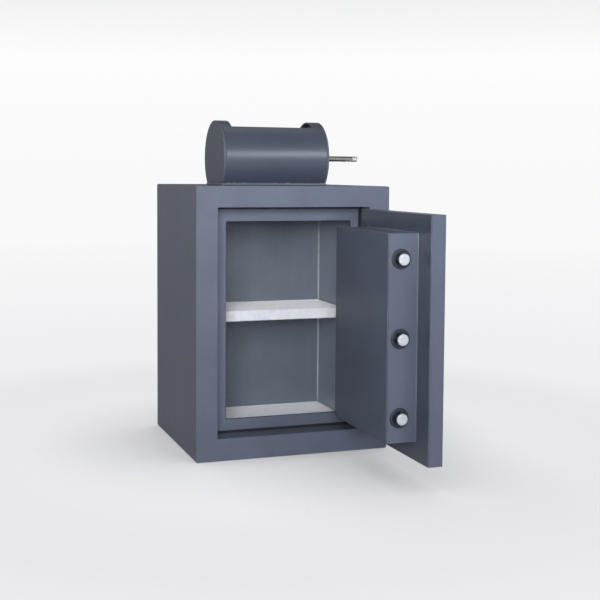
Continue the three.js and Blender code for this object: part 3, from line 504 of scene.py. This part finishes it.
def joined_copy(node):
    """A copy of a node's mesh with its doubled points joined."""
    bm = bmesh.new()
    bm.from_mesh(frame["nodes"][node].data)
    bmesh.ops.remove_doubles(bm, verts=bm.verts, dist=0.002 * MM)
    mesh = bpy.data.meshes.new(f"{node}_soft")
    bm.to_mesh(mesh)
    bm.free()
    return mesh


def add_bevel(obj, width):
    bevel = obj.modifiers.new("edges", "BEVEL")
    bevel.width = width
    bevel.segments = EDGE_SEGMENTS
    bevel.limit_method = "ANGLE"
    bevel.angle_limit = math.radians(EDGE_ANGLE)
    return bevel


def apply_modifiers(obj):
    graph = bpy.context.evaluated_depsgraph_get()
    graph.update()
    mesh = bpy.data.meshes.new_from_object(obj.evaluated_get(graph))
    obj.modifiers.clear()
    obj.data = mesh


def join_objects(name, objects):
    """One object from several that ride on the same body."""
    target = objects[0]
    with bpy.context.temp_override(active_object=target, selected_editable_objects=objects):
        bpy.ops.object.join()
    target.name = name
    target.data.name = name


def lathe(name, profile, centre, axis="X", ring=False):
    """A body turned about a line along X or Y. The profile is pairs of (place along it, radius).

    centre is the line's other two coordinates. A ring's profile closes on itself."""
    vertices, faces = [], []
    for along, radius in profile:
        for k in range(LATHE_SIDES):
            a = 2 * math.pi * k / LATHE_SIDES
            across, up = centre[0] + radius * math.cos(a), centre[1] + radius * math.sin(a)
            vertices.append((along, across, up) if axis == "X" else (across, along, up))
    rows = len(profile)
    for i in range(rows if ring else rows - 1):
        row, next_row = i * LATHE_SIDES, (i + 1) % rows * LATHE_SIDES
        for k in range(LATHE_SIDES):
            following = (k + 1) % LATHE_SIDES
            faces.append((row + k, row + following, next_row + following, next_row + k))
    if not ring:
        last = (rows - 1) * LATHE_SIDES
        faces.append(tuple(range(LATHE_SIDES)))
        faces.append(tuple(last + k for k in range(LATHE_SIDES))[::-1])
    mesh = mesh_from(name, vertices, faces)
    face_outwards(mesh)
    return mesh


# Steel pieces with softened edges

SOFT_EDGES = {
    # node: (material, slot, edge radius in millimetres)
    "body_shell": (slate, "slate_paint", 0.8),
    "back_panel": (slate, "slate_paint", 0.8),
    "front_frame": (slate, "slate_paint", 0.9),
    "bolt_frame": (slate, "slate_paint", 0.9),
    "cavity_liner": (lining, "lining_paint", 0.5),
    "fire_seal": (seal_rubber, "seal", 0.8),
    "shelf_board": (plain_steel, "plain_steel", 0.6),
    "shelf_ledge_left": (lining, "lining_paint", 0.4),
    "shelf_ledge_right": (lining, "lining_paint", 0.4),
    "drum_flange": (slate_drum, "slate_paint", 1.2),
    "drum_housing": (slate_drum, "slate_paint", 0.8),
    "drum_end_left": (slate_disc_painted_lighter, "slate_paint", 0.5),
    "drum_end_right": (slate_disc_painted_lighter, "slate_paint", 0.9),
    "bearing_cup_left": (plain_steel, "plain_steel", 0.6),
    "shaft_bush_right": (brass, "brass", 0.5),
    "drum_rotor": (slate_drum, "slate_paint", 0.6),
    "chute_liner": (lining, "lining_paint", 0.4),
    "chute_baffle_front": (plain_steel, "plain_steel", 0.4),
    "chute_baffle_rear": (plain_steel, "plain_steel", 0.4),
    "hinge_knuckle_fixed_lower": (slate, "slate_paint", 0.7),
    "hinge_knuckle_fixed_upper": (slate, "slate_paint", 0.7),
    "hinge_pin_lower": (plain_steel, "plain_steel", 0.5),
    "hinge_pin_upper": (plain_steel, "plain_steel", 0.5),
    "hinge_strap_lower": (slate, "slate_paint", 0.7),
    "hinge_strap_upper": (slate, "slate_paint", 0.7),
    "door_pan": (slate_door, "slate_paint", 1.3),
    "door_inner_plate": (slate_plate_painted_shade, "slate_paint", 0.9),
    "bolt_box": (slate_door, "slate_paint", 1.1),
    "bolt_box_cover": (slate_cover, "slate_paint", 0.6),
    "dead_bar": (plain_steel, "plain_steel", 0.7),
    "carrier_guide_lower": (plain_steel, "plain_steel", 0.6),
    "carrier_guide_upper": (plain_steel, "plain_steel", 0.6),
    "handle_rose": (dark_metal, "cast_metal", 0.6),
    "lock_escutcheon": (dark_metal, "cast_metal", 0.5),
    "lock_case": (plain_steel, "plain_steel", 0.6),
    "locking_bolt_lower": (bolt_steel, "bright_steel", 0.5),
    "locking_bolt_middle": (bolt_steel, "bright_steel", 0.5),
    "locking_bolt_upper": (bolt_steel, "bright_steel", 0.5),
    "carrier_bar": (plain_steel, "plain_steel", 0.6),
    "carrier_tail": (plain_steel, "plain_steel", 0.5),
    "lock_dog": (plain_steel, "plain_steel", 0.4),
    "lock_cam": (plain_steel, "plain_steel", 0.4),
    "cam_screw": (plain_steel, "plain_steel", 0.3),
    "handle_spindle": (plain_steel, "plain_steel", 0.5),
    "crank_arm": (plain_steel, "plain_steel", 0.6),
    "lever_handle": (dark_metal, "cast_metal", 0.8),
    "lock_plug": (brass, "brass", 0.4),
}
HEIGHTS = ("lower", "middle", "upper")
COVER_SCREWS = 4

# a bolt's end is bright over this length, on faces whose normals point so far to the front
FACED_LENGTH = 2.6 * MM
FACED_SLOPE = -0.3


def soften(node, material, width):
    """The node's own form with its edges rounded a little and, where it is painted, paler at the edges as
    painted highlight, with chips of wear.
    """
    obj = new_object(f"{node}_shown", joined_copy(node), material, body_of(node))
    for polygon in obj.data.polygons:
        polygon.use_smooth = True
    bevel = add_bevel(obj, width)
    bevel.miter_outer = "MITER_ARC"
    # painted highlight: rounded edges take a paler paint, with chips of wear
    if material in WORN_AND_HIGHLIT:
        obj.data.materials.append(WORN_AND_HIGHLIT[material])
        bevel.material = 1
    flat = obj.modifiers.new("flat faces lead", "WEIGHTED_NORMAL")
    flat.weight = 100
    apply_modifiers(obj)
    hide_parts(node)


def face_bolt(height):
    """A locking bolt's end is faced bright, and its chamfer with it."""
    mesh = bpy.data.objects[f"locking_bolt_{height}_shown"].data
    mesh.materials.append(bolt_end)
    tip = min(vertex.co.y for vertex in mesh.vertices)
    for polygon in mesh.polygons:
        if polygon.center.y < tip + FACED_LENGTH and polygon.normal.y < FACED_SLOPE:
            polygon.material_index = 1


def dress(node, material):
    """A node that keeps its own form takes a material."""
    mesh = frame["nodes"][node].data
    mesh.materials.clear()
    mesh.materials.append(material)


for node, (material, slot, radius) in SOFT_EDGES.items():
    soften(node, material, radius * MM)
for height in HEIGHTS:
    face_bolt(height)
for number in range(1, COVER_SCREWS + 1):
    dress(f"cover_screw_{number}", screw_steel)
dress("insulation", fire_fill)
dress("door_fill", fire_fill)


# Shaft with its threaded end

THREAD_LENGTH = 14 * MM
THREAD_PITCH = 1.25 * MM
THREAD_DEPTH = 0.35 * MM
THREAD_RUN_OUT = 2 * MM
SHAFT_CHAMFER = 1 * MM
SHAFT_TIP = 1.4 * MM


def threaded_shaft():
    """The drum's shaft, whose right end has a short rolled thread."""
    low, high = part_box("drum_shaft")
    radius = (high.z - low.z) / 2
    root = radius - THREAD_DEPTH
    start = high.x - THREAD_LENGTH
    profile = [
        (low.x, radius - SHAFT_CHAMFER),
        (low.x + SHAFT_CHAMFER, radius),
        (start - SHAFT_CHAMFER, radius),
    ]
    for turn in range(int((THREAD_LENGTH - THREAD_RUN_OUT) / THREAD_PITCH)):
        x = start + turn * THREAD_PITCH
        profile += [(x, root), (x + THREAD_PITCH / 2, radius)]
    profile += [(high.x - SHAFT_CHAMFER, root), (high.x, radius - SHAFT_TIP)]
    mesh = lathe("drum_shaft_shown", profile, ((low.y + high.y) / 2, (low.z + high.z) / 2))
    smooth(mesh)
    shaft = new_object("drum_shaft_shown", mesh, shaft_steel, "rotor")
    mesh.materials.append(thread_steel)
    for polygon in mesh.polygons:
        if polygon.center.x > start - SHAFT_CHAMFER:
            polygon.material_index = 1
    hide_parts("drum_shaft")


threaded_shaft()


# Guide collars of the bolts

COLLAR_FRONT = (
    # depth behind the face and distance in from the rim, millimetres: the inner land, a groove,
    # the outer land and a slope down to the rim
    (0.5, 7.4),
    (1.9, 7.0),
    (1.9, 5.9),
    (0.0, 5.3),
    (0.0, 1.9),
    (1.0, 0.7),
    (1.3, 0.0),
)
COLLAR_BORE_DEPTH = 1.2 * MM
COLLAR_LAND_DEPTH = 0.5 * MM
COLLAR_BORE_SLOPE = 0.7 * MM
# the groove and the rim's slope are painted darker, as painted shade: millimetres in from the rim, on the
# flange's front
COLLAR_PAINTED_SHADE = ((7.5, 5.2), (1.9, 0.0))
COLLAR_FRONT_MARGIN = 0.1 * MM


def turned_collar(height):
    """A bolt's guide collar, with a groove in its front, a rim that slopes off, and painted shade in the
    groove and on the slope.
    """
    node = f"bolt_collar_{height}"
    low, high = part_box(node)
    centre = ((low.x + high.x) / 2, (low.z + high.z) / 2)
    rim = (high.x - low.x) / 2
    points = [v.co for v in frame["nodes"][node].data.vertices]
    reach = [(math.hypot(p.x - centre[0], p.z - centre[1]), p.y) for p in points]
    tail = [r for r, y in reach if y > high.y - MM]
    sleeve, bore = max(tail), min(tail)
    flange_back = max(y for r, y in reach if r > sleeve + MM)
    face = low.y
    profile = [
        (face + COLLAR_BORE_DEPTH, bore),
        (face + COLLAR_LAND_DEPTH, bore + COLLAR_BORE_SLOPE),
        *((face + depth * MM, rim - inset * MM) for depth, inset in COLLAR_FRONT),
        (flange_back, rim),
        (flange_back, sleeve),
        (high.y, sleeve),
        (high.y, bore),
    ]
    mesh = lathe(f"{node}_shown", profile, centre, "Y", ring=True)
    smooth(mesh, sharp_above=24)
    collar = new_object(f"{node}_shown", mesh, collar_metal, "door")
    # painted shade: the groove and the rim's slope take the darker paint
    mesh.materials.append(collar_painted_shade)
    for polygon in mesh.polygons:
        r = math.hypot(polygon.center.x - centre[0], polygon.center.z - centre[1])
        dark = any(rim - outer * MM < r < rim - inner * MM for outer, inner in COLLAR_PAINTED_SHADE)
        if dark and polygon.center.y < flange_back - COLLAR_FRONT_MARGIN:
            polygon.material_index = 1
    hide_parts(node)


for height in HEIGHTS:
    turned_collar(height)


# Felt on the shelf and on the cavity's floor

FELT_EDGE = 0.7 * MM
COVER_CELL = 7 * MM
COVER_SINK = 0.7 * MM
MAT_CELL = 6 * MM
MAT_SINK = 0.6 * MM
CUT_ROUNDS = 12

# how fast the felt's unevenness varies, per metre, and the share of the finer kind
MATTING_SCALE = 160
FINE_MATTING_SCALE = 420
FINE_MATTING_SHARE = 0.35


def unevenness(place):
    """Smooth noise between 0 and 1."""
    return 0.5 + 0.5 * noise.noise(place)


def matted(node, cell, sink):
    """A node's felt as a matted pad: faces cut down to a cell, and each point sunk a little."""
    obj = new_object(f"{node}_felt", joined_copy(node), pale_felt, body_of(node))
    add_bevel(obj, FELT_EDGE)
    apply_modifiers(obj)
    bm = bmesh.new()
    bm.from_mesh(obj.data)
    bmesh.ops.triangulate(bm, faces=bm.faces)
    for _ in range(CUT_ROUNDS):
        long_edges = [e for e in bm.edges if e.calc_length() > cell]
        if not long_edges:
            break
        bmesh.ops.subdivide_edges(bm, edges=long_edges, cuts=1, use_grid_fill=False)
        bmesh.ops.triangulate(bm, faces=[f for f in bm.faces if len(f.verts) > 3])
    bm.normal_update()
    for vertex in bm.verts:
        place = vertex.co
        depth = unevenness(place * MATTING_SCALE)
        depth += FINE_MATTING_SHARE * unevenness(place * FINE_MATTING_SCALE)
        vertex.co = place - vertex.normal * sink * depth
    bm.to_mesh(obj.data)
    bm.free()
    smooth(obj.data, sharp_above=60)
    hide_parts(node)


# Loose fibres of the felt, which start a little below its surface and stray from straight out
FIBRE_WIDTH = 0.22 * MM
FIBRE_ROOT = 0.6 * MM
FIBRE_WANDER = 0.8
FIBRE_BEND = 0.4
FIBRE_SHORTEST = 0.35
FIBRE_TAPER = 0.8
FIBRE_MIDDLE = 0.5
FIBRE_MIDDLE_BEND = 0.35
FIBRE_ACROSS = Vector((0.31, 0.77, 0.55))
COVER_FIBRE = 3.2 * MM
MAT_FIBRE = 2.6 * MM
FRINGE_COUNT = 1500
FRONT_COUNT = 900
TOP_COUNT = 700
MAT_COUNT = 900
FRINGE_ROOT = 0.8 * MM
FRINGE_HEIGHTS = (0.4 * MM, 1.2 * MM)


def scattered(rng, count, low, high, direction):
    """Spots of (place, direction) at random in the box between two corners.

    A coordinate that the corners share draws no number."""
    spots = []
    for _ in range(count):
        place = Vector([rng.uniform(a, b) if a < b else a for a, b in zip(low, high)])
        spots.append((place, direction))
    return spots


def fibres(name, spots, length, seed):
    """Thin bent blades that start at spots of (place, direction)."""
    rng = random.Random(seed)
    vertices, faces = [], []
    for place, direction in spots:
        out = Vector(direction).normalized()
        wander = Vector([rng.uniform(-FIBRE_WANDER, FIBRE_WANDER) for _ in range(3)])
        aim = (out + wander).normalized()
        side = aim.cross(FIBRE_ACROSS).normalized() * FIBRE_WIDTH
        deep = side.cross(aim).normalized() * FIBRE_WIDTH
        reach = length * rng.uniform(FIBRE_SHORTEST, 1.0)
        bend = Vector([rng.uniform(-FIBRE_BEND, FIBRE_BEND) for _ in range(3)]) * reach
        middle = place + aim * reach * FIBRE_MIDDLE + bend * FIBRE_MIDDLE_BEND
        tip = place + aim * reach + bend
        first = len(vertices)
        corners = (-side, side, deep)
        vertices += [place + corner for corner in corners]
        vertices += [middle + corner * FIBRE_TAPER for corner in corners]
        vertices.append(tip)
        faces.append((first, first + 2, first + 1))
        for k in range(3):
            a, b = first + k, first + (k + 1) % 3
            faces.append((a, b, b + 3, a + 3))
            faces.append((a + 3, b + 3, first + 6))
    new_object(name, mesh_from(name, vertices, faces), pale_felt, "body")


def cover_spots(rng):
    """Roots of fibres under the cover's front edge, on the edge's face and on the top."""
    low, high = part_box("shelf_cover")
    fringe_y, face_y, top_z = low.y + FRINGE_ROOT, low.y + FIBRE_ROOT, high.z - FIBRE_ROOT
    fringe_low, fringe_high = (low.z + height for height in FRINGE_HEIGHTS)
    places = (
        (FRINGE_COUNT, (low.x, fringe_y, fringe_low), (high.x, fringe_y, fringe_high), (0, -0.4, -1)),
        (FRONT_COUNT, (low.x, face_y, low.z), (high.x, face_y, high.z), (0, -1, 0)),
        (TOP_COUNT, (low.x, low.y, top_z), (high.x, high.y, top_z), (0, -0.3, 1)),
    )
    return [spot for row in places for spot in scattered(rng, *row)]


def mat_spots(rng):
    """Roots of fibres on the floor mat."""
    low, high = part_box("floor_mat")
    top_z = high.z - FIBRE_ROOT
    return scattered(rng, MAT_COUNT, (low.x, low.y, top_z), (high.x, high.y, top_z), (0, 0, 1))


matted("shelf_cover", COVER_CELL, COVER_SINK)
matted("floor_mat", MAT_CELL, MAT_SINK)
rng = random.Random(SEED)
fibres("shelf_fibres", cover_spots(rng), COVER_FIBRE, SEED)
fibres("mat_fibres", mat_spots(rng), MAT_FIBRE, SEED + 1)


# Weld and filler beads

BEAD_STEP = 4 * MM
BEAD_ARC = 5

# a bead starts at this share of its radius, and grows by so much at each step
END_SIZE = 0.35
END_GROWTH = 0.4

# where the lumps are read from the noise
LUMP_STEP = 0.9
LUMP_PLANE = 0.3
LUMP_SEED_STEP = 3.7


def bead(name, run, radius, lump, material, body, seed=0):
    """A lumpy quarter round along a corner, thinner at its ends.

    A run is (start, end, u, v), where u and v point from the corner along its two walls."""
    start, end, u, v = (Vector(item) for item in run)
    count = max(2, int((end - start).length / BEAD_STEP))
    vertices, faces = [], []
    for i in range(count + 1):
        centre = start.lerp(end, i / count)
        grow = 1 + lump * noise.noise(Vector((i * LUMP_STEP, seed, LUMP_PLANE)))
        taper = min(1.0, END_SIZE + min(i, count - i) * END_GROWTH)
        r = radius * grow * taper
        vertices.append(centre)
        for k in range(BEAD_ARC + 1):
            a = math.pi / 2 * k / BEAD_ARC
            vertices.append(centre + u * r * math.cos(a) + v * r * math.sin(a))
    row = BEAD_ARC + 2
    for i in range(count):
        for k in range(row):
            a, b = i * row + k, i * row + (k + 1) % row
            faces.append((a, b, b + row, a + row))
    faces.append(tuple(range(row))[::-1])
    faces.append(tuple(count * row + k for k in range(row)))
    mesh = mesh_from(name, vertices, faces)
    face_outwards(mesh)
    smooth(mesh, sharp_above=50)
    return new_object(name, mesh, material, body)


def bead_runs(name, runs, radius, lump, material, body):
    """Several beads as one piece, each with lumps of its own."""
    made = []
    for index, run in enumerate(runs):
        seed = index * LUMP_SEED_STEP
        made.append(bead(f"{name}_{index}", run, radius, lump, material, body, seed))
    join_objects(name, made)


LINER_SHEET = 1.5 * MM
SEAM_RADIUS = 2.8 * MM
SEAM_LUMP = 0.35
SEAM_MARGIN = 1.0 * MM


def cavity_corner_seams():
    """Filler in the cavity's two rear corners, above and below the shelf."""
    low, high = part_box("cavity_liner")
    left, right, back = low.x + LINER_SHEET, high.x - LINER_SHEET, high.y - LINER_SHEET
    ceiling = high.z - LINER_SHEET
    mat_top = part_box("floor_mat")[1].z
    ledge_low, ledge_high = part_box("shelf_ledge_right")
    spans = (
        (mat_top + SEAM_MARGIN, ledge_low.z - SEAM_MARGIN),
        (ledge_high.z + SEAM_MARGIN, ceiling - SEAM_MARGIN),
    )
    runs = []
    for bottom, top in spans:
        for x, inwards in ((right, -1), (left, 1)):
            runs.append(((x, back, bottom), (x, back, top), (inwards, 0, 0), (0, -1, 0)))
    bead_runs("cavity_corner_seams", runs, SEAM_RADIUS, SEAM_LUMP, filler, "body")


cavity_corner_seams()


# Seal round the mouth behind the door, a dark strip that also stands in for the lip's shade line: thinner
# on the side where the withdrawn bolts swing past

SEAL_PROUD = 1.3 * MM
SEAL_DEEP = 3.2 * MM
SEAL_SET_BACK = 0.4 * MM
SEAL_GAP = 0.1 * MM
SEAL_ROUND = 0.3
BOLT_SIDE_PROUD = 0.8 * MM
BOLT_SIDE_DEEP = 2.2 * MM

# the lip round the mouth is wider than this on every side
LIP_WIDTH_LEAST = 20 * MM


def seal_strip(name, low, high):
    """A strip of seal between two opposite corners, with its edges rounded."""
    low, high = Vector(low), Vector(high)
    size, middle = high - low, (low + high) / 2
    bm = bmesh.new()
    bmesh.ops.create_cube(bm, size=1.0)
    for vertex in bm.verts:
        vertex.co = Vector([c * s for c, s in zip(vertex.co, size)]) + middle
    rounding = min(size) * SEAL_ROUND
    bmesh.ops.bevel(bm, geom=bm.edges, offset=rounding, segments=2, affect="EDGES", profile=0.5)
    mesh = bpy.data.meshes.new(name)
    bm.to_mesh(mesh)
    bm.free()
    smooth(mesh, sharp_above=40)
    return new_object(name, mesh, seal_rubber, "body")


def mouth_seal_and_shade_line():
    """Four strips of dark seal along the edges of the mouth, which also serve as painted shade along the
    lip's edge.
    """
    low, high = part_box("bolt_frame")
    points = [v.co for v in frame["nodes"]["bolt_frame"].data.vertices]
    inner = [p for p in points if low.x + LIP_WIDTH_LEAST < p.x < high.x - LIP_WIDTH_LEAST]
    left, right = min(p.x for p in inner), max(p.x for p in inner)
    bottom = min(p.z for p in inner if p.z > low.z + LIP_WIDTH_LEAST)
    top = max(p.z for p in inner if p.z < high.z - LIP_WIDTH_LEAST)
    front = low.y + SEAL_SET_BACK
    back = front + SEAL_DEEP
    strip_bottom, strip_top = bottom + SEAL_PROUD + SEAL_GAP, top - SEAL_PROUD - SEAL_GAP
    strips = {
        "bottom": (
            (left + SEAL_GAP, front, bottom + SEAL_GAP),
            (right - SEAL_GAP, back, bottom + SEAL_PROUD),
        ),
        "top": (
            (left + SEAL_GAP, front, top - SEAL_PROUD),
            (right - SEAL_GAP, back, top - SEAL_GAP),
        ),
        "right": (
            (right - SEAL_PROUD, front, strip_bottom),
            (right - SEAL_GAP, back, strip_top),
        ),
        "left": (
            (left + SEAL_GAP, back - BOLT_SIDE_DEEP, strip_bottom),
            (left + BOLT_SIDE_PROUD, back, strip_top),
        ),
    }
    made = [seal_strip(f"mouth_seal_and_shade_line_{side}", *corners) for side, corners in strips.items()]
    join_objects("mouth_seal_and_shade_line", made)


mouth_seal_and_shade_line()


# Welds that hold the drum's housing on its flange, at the front and the rear

WELD_RADIUS = 1.3 * MM
WELD_LUMP = 0.6
WELD_MARGIN = 4 * MM
WELD_GAP = 0.2 * MM

# the direction of the housing's wall at its foot, outwards and up
WELD_LEAN = (0.35, 0.93)

SPATTER_COUNT = 14
SPATTER_SEED = SEED + 5
SPATTER_SIZES = (0.5 * MM, 1.4 * MM)
SPATTER_AWAY = 1.2 * MM
SPATTER_STRETCH = 1.8
SPATTER_SIDES = 10
SPATTER_RINGS = 3


def spatter(name, grains):
    """Small grains of weld metal: low domes, longer than wide, on a face that looks up."""
    vertices, faces = [], []
    for place, radius in grains:
        first = len(vertices)
        for ring in range(SPATTER_RINGS):
            a = math.pi / 2 * ring / SPATTER_RINGS
            r, up = radius * math.cos(a), radius * math.sin(a)
            for k in range(SPATTER_SIDES):
                b = 2 * math.pi * k / SPATTER_SIDES
                vertices.append(place + Vector((SPATTER_STRETCH * r * math.cos(b), r * math.sin(b), up)))
        top = len(vertices)
        vertices.append(place + Vector((0, 0, radius)))
        following = [(k + 1) % SPATTER_SIDES for k in range(SPATTER_SIDES)]
        for ring in range(SPATTER_RINGS - 1):
            for k in range(SPATTER_SIDES):
                a, b = first + ring * SPATTER_SIDES + k, first + ring * SPATTER_SIDES + following[k]
                faces.append((a, b, b + SPATTER_SIDES, a + SPATTER_SIDES))
        last = first + (SPATTER_RINGS - 1) * SPATTER_SIDES
        faces += [(last + k, last + following[k], top) for k in range(SPATTER_SIDES)]
        faces.append(tuple(first + k for k in range(SPATTER_SIDES))[::-1])
    mesh = mesh_from(name, vertices, faces)
    smooth(mesh, sharp_above=60)
    new_object(name, mesh, spatter_metal, "body")


def drum_weld(name, side):
    """A bead along the housing's foot with spatter beside it. side is -1 in front, 1 at the rear."""
    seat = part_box("drum_flange")[1].z
    low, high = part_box("drum_housing")
    radius = (high.y - low.y) / 2
    axis_height = high.z - radius - seat
    foot = math.sqrt(radius**2 - axis_height**2)
    y = (low.y + high.y) / 2 + side * (foot + WELD_GAP)
    ends = (low.x + WELD_MARGIN, high.x - WELD_MARGIN)
    lean, rise = WELD_LEAN
    run = ((ends[0], y, seat), (ends[1], y, seat), (0, side, 0), (0, side * lean, rise))
    bead(f"drum_weld_{name}", run, WELD_RADIUS, WELD_LUMP, slate_drum, "body")
    rng = random.Random(SPATTER_SEED + side)
    grains = []
    for _ in range(SPATTER_COUNT):
        place = Vector((rng.uniform(*ends), y + side * SPATTER_AWAY, seat))
        grains.append((place, rng.uniform(*SPATTER_SIZES)))
    spatter(f"weld_spatter_{name}", grains)


drum_weld("front", -1)
drum_weld("rear", 1)


# Filler round the bolt box, where it meets the door's inner plate

BOX_SEAM_RADIUS = 2.4 * MM
BOX_SEAM_LUMP = 0.12


def bolt_box_seam():
    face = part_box("door_inner_plate")[0].x
    low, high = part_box("bolt_box")
    rear_bottom, rear_top = (face, high.y, low.z), (face, high.y, high.z)
    front_bottom, front_top = (face, low.y, low.z), (face, low.y, high.z)
    off = (-1, 0, 0)
    runs = [
        (front_bottom, front_top, (0, -1, 0), off),
        (front_top, rear_top, (0, 0, 1), off),
        (front_bottom, rear_bottom, (0, 0, -1), off),
        (rear_bottom, rear_top, (0, 1, 0), off),
    ]
    bead_runs("bolt_box_seam", runs, BOX_SEAM_RADIUS, BOX_SEAM_LUMP, slate_door, "door")


bolt_box_seam()


# Camera, floor, backdrop and lamps

def aim_camera():
    yaw, pitch, roll = (math.radians(a) for a in (CAMERA_YAW, CAMERA_PITCH, CAMERA_ROLL))
    forward = Vector((math.sin(yaw) * math.cos(pitch), math.cos(yaw) * math.cos(pitch), -math.sin(pitch)))
    right = Vector((math.cos(yaw), -math.sin(yaw), 0))
    up = right.cross(forward)
    turned_right = right * math.cos(roll) + up * math.sin(roll)
    turned_up = up * math.cos(roll) - right * math.sin(roll)
    data = bpy.data.cameras.new("camera")
    data.sensor_width = CAMERA_SENSOR
    data.lens = CAMERA_LENS
    data.shift_y = CAMERA_SHIFT_Y
    data.clip_start = CAMERA_NEAR
    data.clip_end = CAMERA_FAR
    camera = bpy.data.objects.new("camera", data)
    bpy.context.scene.collection.objects.link(camera)
    turn = Matrix((turned_right, turned_up, -forward)).transposed().to_4x4()
    camera.matrix_world = Matrix.Translation(CAMERA_PLACE) @ turn
    bpy.context.scene.camera = camera


def seen_directly(n, gloss_share):
    """1 for camera and transmission rays, a share for reflections, 0 for rays that light the object."""
    path = n.add("ShaderNodeLightPath").outputs
    gloss = n.math("MULTIPLY", path["Is Glossy Ray"], gloss_share)
    direct = n.math("MAXIMUM", path["Is Camera Ray"], gloss)
    return n.math("MAXIMUM", direct, path["Is Transmission Ray"])


def make_floor():
    """A floor that the lamps light, which also glows where it is seen, less so beside the object."""
    side = FLOOR_HALF_SIDE
    corners = [(-side, -side, 0), (side, -side, 0), (side, side, 0), (-side, side, 0)]
    mesh = mesh_from("floor", corners, [(0, 1, 2, 3)])
    floor = bpy.data.objects.new("floor", mesh)
    bpy.context.scene.collection.objects.link(floor)
    floor.location.z = -FLOOR_DROP
    material, n = new_material("pale floor")
    away = n.add("ShaderNodeVectorMath", {0: n.coordinates()}, operation="LENGTH").outputs["Value"]
    seen = seen_directly(n, FLOOR_GLOSS_SHARE)

    way = n.remap(away, 0.0, 1.0, source=(0.0, FLOOR_GLOW_REACH))
    # the glow is dimmer near the middle: painted shade round the object
    pale = n.ramp(way, [(metres / FLOOR_GLOW_REACH, linear(colour)) for metres, colour in FLOOR_GLOW])
    open_sky = n.add("ShaderNodeAmbientOcclusion", {"Distance": SHADE_REACH}, samples=8).outputs["AO"]
    strength = n.math("MULTIPLY", seen, n.remap(open_sky, SHADE_LEAST, 1.0))
    glow = n.add("ShaderNodeEmission", {"Color": pale, "Strength": strength})

    far = n.remap(away, 1 - FLOOR_LIT_SHARE, 1.0, source=FLOOR_LIT_FADE, interpolation="SMOOTHSTEP")
    hidden = n.math("MULTIPLY", far, seen)
    lit = n.add(
        "ShaderNodeBsdfPrincipled",
        {"Base Color": linear(FLOOR), "Roughness": 0.45, "Specular IOR Level": 0.12},
    )
    dimmed = n.add("ShaderNodeMixShader", {0: hidden, 1: lit.outputs["BSDF"]})
    both = n.add("ShaderNodeAddShader", {0: dimmed.outputs["Shader"], 1: glow.outputs["Emission"]})
    n.add("ShaderNodeOutputMaterial", {"Surface": both.outputs["Shader"]})
    mesh.materials.append(material)
    return floor


def make_world():
    world = bpy.data.worlds.new("studio")
    bpy.context.scene.world = world
    world.use_nodes = True
    n = Nodes(world.node_tree)
    height = n.add("ShaderNodeSeparateXYZ", {"Vector": n.coordinates("Generated")}).outputs["Z"]
    sky = n.ramp(height, [(position, linear(colour)) for position, colour in BACKDROP])
    seen = n.add("ShaderNodeBackground", {"Color": sky, "Strength": 1.0})
    light = n.add("ShaderNodeBackground", {"Color": WORLD_COLOUR, "Strength": WORLD_LIGHT})
    direct = seen_directly(n, BACKDROP_GLOSS_SHARE)
    mixed = n.add("ShaderNodeMixShader", {0: direct, 1: light.outputs[0], 2: seen.outputs[0]})
    n.add("ShaderNodeOutputWorld", {"Surface": mixed.outputs["Shader"]})


def lamp(name, place, target, size, power, spread, colour):
    data = bpy.data.lights.new(name, "AREA")
    data.shape = "RECTANGLE"
    data.size, data.size_y = size
    data.energy = power
    data.spread = math.radians(spread)
    data.color = colour
    obj = bpy.data.objects.new(name, data)
    bpy.context.scene.collection.objects.link(obj)
    obj.visible_camera = False
    aim = Vector(target) - Vector(place)
    obj.matrix_world = Matrix.Translation(place) @ aim.to_track_quat("-Z", "Y").to_matrix().to_4x4()
    return obj


def light_studio(floor):
    """The lamps. The side lamps skip the floor."""
    for settings in LAMPS:
        lamp(*settings)
    skipped = bpy.data.collections.new("not lit by the side lamps")
    skipped.objects.link(floor)
    skipped.collection_objects[0].light_linking.link_state = "EXCLUDE"
    for settings in SIDE_LAMPS:
        lamp(*settings).light_linking.receiver_collection = skipped


aim_camera()
floor = make_floor()
make_world()
light_studio(floor)
bpy.context.scene.view_settings.view_transform = "Standard"
